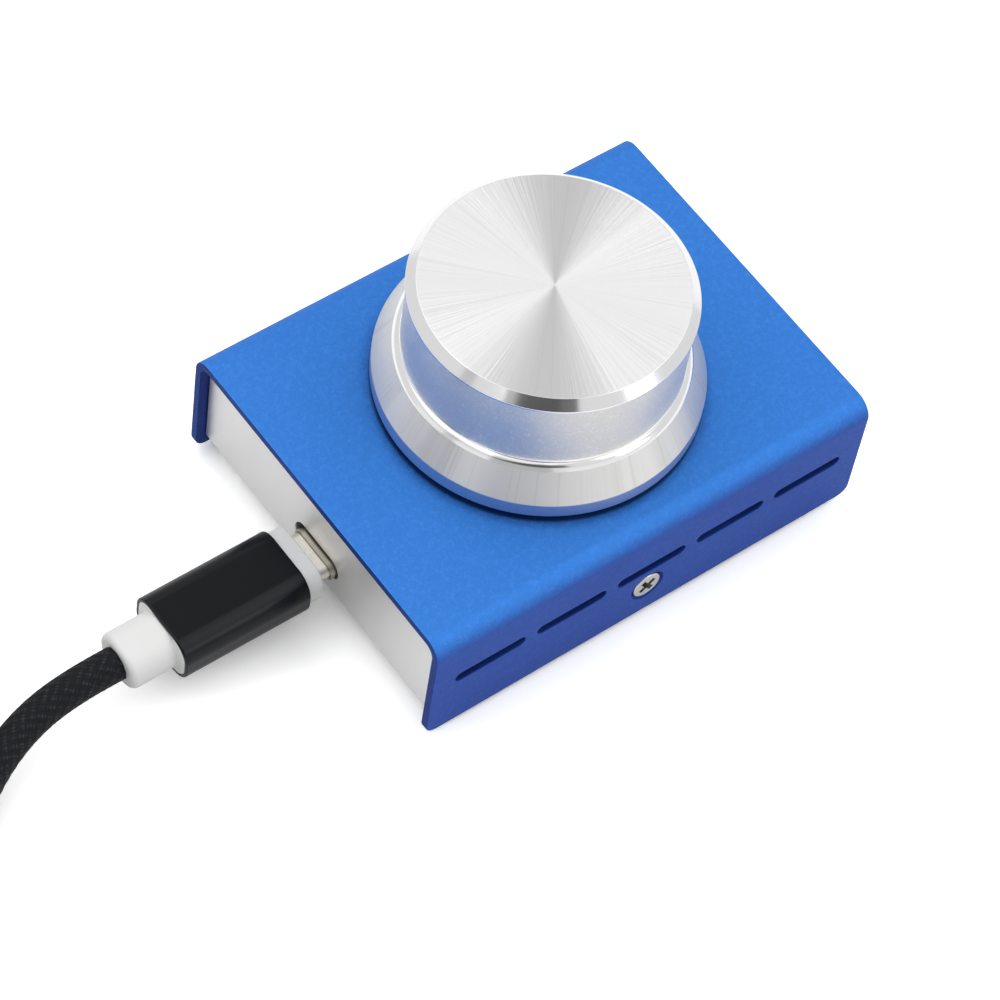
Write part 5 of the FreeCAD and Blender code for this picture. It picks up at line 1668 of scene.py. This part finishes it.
@dataclass
class Knob:
    """Turned knob: spun face, polished crown, blasted wall, and a skirt of ring, cone and lip.

    Sizes are in millimetres; levels are above the knob's own bottom.
    """

    bottom: float = 23.6
    height: float = 21.2
    face: float = 18.75
    crown: float = 20.1
    crown_height: float = 1.25
    land: float = 0.3
    wall: float = 19.8
    wall_foot: float = 8.0
    ring: float = 20.55
    ring_level: float = 7.56
    ring_round: float = 2.2
    ring_end: Point2 = (20.871, 6.99)
    skirt: float = 23.4
    lip: float = 2.5
    hollow: float = 20.4
    hollow_depth: float = 3.0
    hub: float = 8.0
    hub_lift: float = 0.3
    bore: float = 3.04
    bore_depth: float = 11.5
    edge: float = 0.2
    inner_round: float = 0.3
    screw_hole: float = 2.02
    screw_level: float = 5.4
    steps: int = 288

    def build(self) -> None:
        """Turn the knob and drill the hole of its set screw."""
        top = self.height
        brow = top - self.crown_height
        edge, inner = self.edge, self.inner_round
        # Each corner: radius, height, rounding, and the surface that starts there.
        corners = [
            (0.0, top, 0.0, Turned.FACE),
            (self.face, top, 0.10, Turned.CROWN),
            (self.crown, brow, 0.12, Turned.LAND),
            (self.crown, brow - self.land, 0.06, Turned.LAND),
            (self.wall, brow - self.land, 0.04, Turned.WALL),
            (self.wall, self.wall_foot, 0.4, Turned.CROWN),
            (self.ring, self.ring_level, self.ring_round, Turned.CROWN),
            (*self.ring_end, 0.0, Turned.CONE),
            (self.skirt, self.lip, edge, Turned.LIP),
            (self.skirt, 0.0, edge, Turned.INSIDE),
            (self.hollow, 0.0, edge, Turned.INSIDE),
            (self.hollow, self.hollow_depth, inner, Turned.INSIDE),
            (self.hub, self.hollow_depth, inner, Turned.INSIDE),
            (self.hub, self.hub_lift, inner, Turned.INSIDE),
            (self.bore, self.hub_lift, inner, Turned.INSIDE),
            (self.bore, self.bore_depth, 0.0, Turned.INSIDE),
            (0.0, self.bore_depth, 0.0, Turned.INSIDE),
        ]
        outline = traced([corner[:3] for corner in corners], False, 7.5)
        profile = [(radius, self.bottom + height) for (radius, height), _ in outline]
        zones = [corners[number][3] for _, number in outline]
        finishes = [KNOB_FACE, KNOB_CROWN, KNOB_LAND, KNOB_WALL, KNOB_CONE, KNOB_INSIDE, SHADED_KNOB_LIP]
        knob = lathe("turned_knob", profile, finishes, zones, self.steps)
        near, far = 1.0, 30.0
        drill = lathe("drill", [(0.0, near), (self.screw_hole, near), (self.screw_hole, far), (0.0, far)],
                      [KNOB_INSIDE])
        lift = Matrix.Translation((0, 0, self.bottom + self.screw_level))
        cut_out(knob, moved(drill, lift @ Matrix.Rotation(math.radians(-90.0), 4, "X")))
        weigh_normals(knob)
        settle(knob, "knob", "knob_aluminium", "knob")


# ---------------------------------------------------------------- plugs


@dataclass
class CordPlug:
    """A plug on the lead, in millimetres, in its own frame.

    The strain relief starts at X = 0 and the tip lies at +X.
    """

    name: str
    place: Matrix
    sleeve_length: float
    width: float
    height: float
    collar: float
    corner: float = 3.2
    wall: float = 0.5
    gap: float = 0.06
    relief: Point3 = (8.8, 7.0, 3.5)
    relief_length: float = 7.2
    relief_round: float = 0.9
    fillet: float = 0.3
    fillet_rise: float = 0.1
    least_step: float = 0.32
    core_round: float = 0.15
    mould_edge: float = 0.3
    sleeve_edge: float = 0.24

    def build_mould(self, slot: str, *nodes: str) -> Piece:
        """The white moulding: strain relief, the part inside the sleeve, and the collar.

        Args:
            slot: Name of its material slot.
            nodes: The CAD nodes it stands for.

        Returns:
            The piece.
        """
        width, height, corner = self.relief
        inset = self.wall + self.gap
        core = (self.width - 2 * inset, self.height - 2 * inset, self.corner - inset)
        root, flare, rise = self.relief_length, self.fillet, self.fillet_rise
        front = root + self.sleeve_length + self.collar
        # The relief flares out where it meets the core, and stays below the core's top.
        sections = [
            *soft_end(0.0, 1, self.relief, self.relief_round, 8),
            (root - flare, width, height, corner),
            (root - flare * 0.3, width + flare * 0.2, height + rise * 0.2, corner),
            (root, width + flare, min(height + rise, core[1] - self.least_step), corner),
            *soft_end(root, 1, core, self.core_round, 3),
            *soft_end(front, -1, core, self.mould_edge, 5),
        ]
        mould = moved(swept(f"{self.name}_moulding", along_x(sections, 7.5), [WHITE_GLOSS]), self.place)
        weigh_normals(mould)
        return settle(mould, "case", slot, *nodes)

    def build_sleeve(self, slot: str, *nodes: str) -> Piece:
        """The black sleeve, open at both ends.

        Args:
            slot: Name of its material slot.
            nodes: The CAD nodes it stands for.

        Returns:
            The piece.
        """
        size = (self.width, self.height, self.corner)
        hollow = (self.width - 2 * self.wall, self.height - 2 * self.wall, self.corner - self.wall)
        back, front = self.relief_length, self.relief_length + self.sleeve_length
        sections = [(back, *hollow), *soft_end(back, 1, size, self.sleeve_edge, 4),
                    *soft_end(front, -1, size, self.sleeve_edge, 4), (front, *hollow)]
        skin = swept(f"{self.name}_barrel", along_x(sections, 7.5), [SLEEVE_BLACK], loop=True)
        sleeve = moved(skin, self.place)
        weigh_normals(sleeve)
        return settle(sleeve, "case", slot, *nodes)


@dataclass
class Plugs:
    """The plug in the case and the plug for the computer, in millimetres."""

    case_start: Point3 = (-69.1, 0.0, 8.45)
    host_start: Point3 = (-112.0, 41.0, 4.1)
    host_before: Point2 = (-120.4, 40.5)
    shell_size: Point3 = (12.0, 4.5, 0.5)
    shell_wall: float = 0.3
    shell_length: float = 11.8
    shell_root: float = 3.0
    shell_edge: float = 0.18
    window: Point2 = (2.6, 2.2)
    window_place: Point2 = (5.2, 2.6)

    def build(self) -> list[Union[str, Piece]]:
        """Make both plugs.

        Returns:
            The pieces that go with the lead.
        """
        case_plug = CordPlug("case_plug", Matrix.Translation(self.case_start), sleeve_length=20.5,
                             width=12.4, height=8.0, collar=2.5)
        run = Vector(self.host_start[:2]) - Vector(self.host_before)
        heading = Matrix.Rotation(math.atan2(run.y, run.x), 4, "Z")
        host_plug = CordPlug("host_plug", Matrix.Translation(self.host_start) @ heading, sleeve_length=22.0,
                             width=15.6, height=8.2, collar=2.0)
        coat(NICKEL, "plug_tip")
        coat(BLACK_PLASTIC, "plug_insert")
        coat(WHITE_GLOSS, "host_insert")
        coat(GOLD, "host_contacts")
        return [
            case_plug.build_mould("mould_white", "plug_mould"),
            case_plug.build_sleeve("sleeve_black", "plug_sleeve"),
            host_plug.build_mould("mould_white", "host_mould"),
            host_plug.build_sleeve("sleeve_black", "host_sleeve"),
            self.build_host_shell(host_plug),
            "plug_tip", "plug_insert", "host_insert", "host_contacts",
        ]

    def build_host_shell(self, plug: CordPlug) -> Piece:
        """The metal shell of the computer-end plug, with two windows above and below.

        Args:
            plug: The plug that the shell belongs to.

        Returns:
            The piece.
        """
        width, height, corner = self.shell_size
        inside = (width - 2 * self.shell_wall, height - 2 * self.shell_wall, corner - self.shell_wall)
        face = plug.relief_length + plug.sleeve_length + plug.collar
        root, front = face - self.shell_root, face + self.shell_length
        sections = [(root, *inside), (root, *self.shell_size),
                    *soft_end(front, -1, self.shell_size, self.shell_edge, 4), (front, *inside)]
        shell = swept("host_plug_shell", along_x(sections, 15.0), [NICKEL], loop=True)
        for side in (-1, 1):
            x, y = face + self.window_place[0], side * self.window_place[1]
            outline = [(x + sx * self.window[0] / 2, y + sy * self.window[1] / 2) for sx, sy in ROUND]
            rings = [[Vector((u, v, level)) * MM for u, v in outline] for level in (-10.0, 10.0)]
            cut_out(shell, swept("window", rings, [NICKEL]))
        shade(shell.data, SHELL_EDGE)
        return settle(moved(shell, plug.place), "case", "shell_nickel", "host_shell")


# ---------------------------------------------------------------- main


def main() -> None:
    """Build the object's sub-assemblies in order."""
    Studio().build()
    coat(SHADED_NICKEL, "usb_receptacle_shell")
    coat(NICKEL, "controller_leads", "encoder_pins", "switch_dome")
    coat(STEEL, "board_studs", "board_screws", "encoder_frame", "knob_set_screw")
    coat(BOARD_GREEN, "circuit_board")
    coat(BLACK_PLASTIC, "usb_receptacle_tongue", "encoder_housing", "microcontroller", "chip_resistors")
    coat(GOLD, "usb_receptacle_contacts")
    coat(DIE_CAST, "encoder_bushing")
    coat(SHAFT_METAL, "encoder_shaft")
    coat(PALE_PLASTIC, "encoder_rotor")
    coat(CERAMIC, "chip_capacitors")
    coat(TIE_WEAVE, "cord_tie")
    Case().build()
    Knob().build()
    Lead().build([*Plugs().build(), "cord_tie"])


if __name__ == "__main__":
    logging.basicConfig(level=logging.INFO, format="%(name)s: %(message)s")
    main()
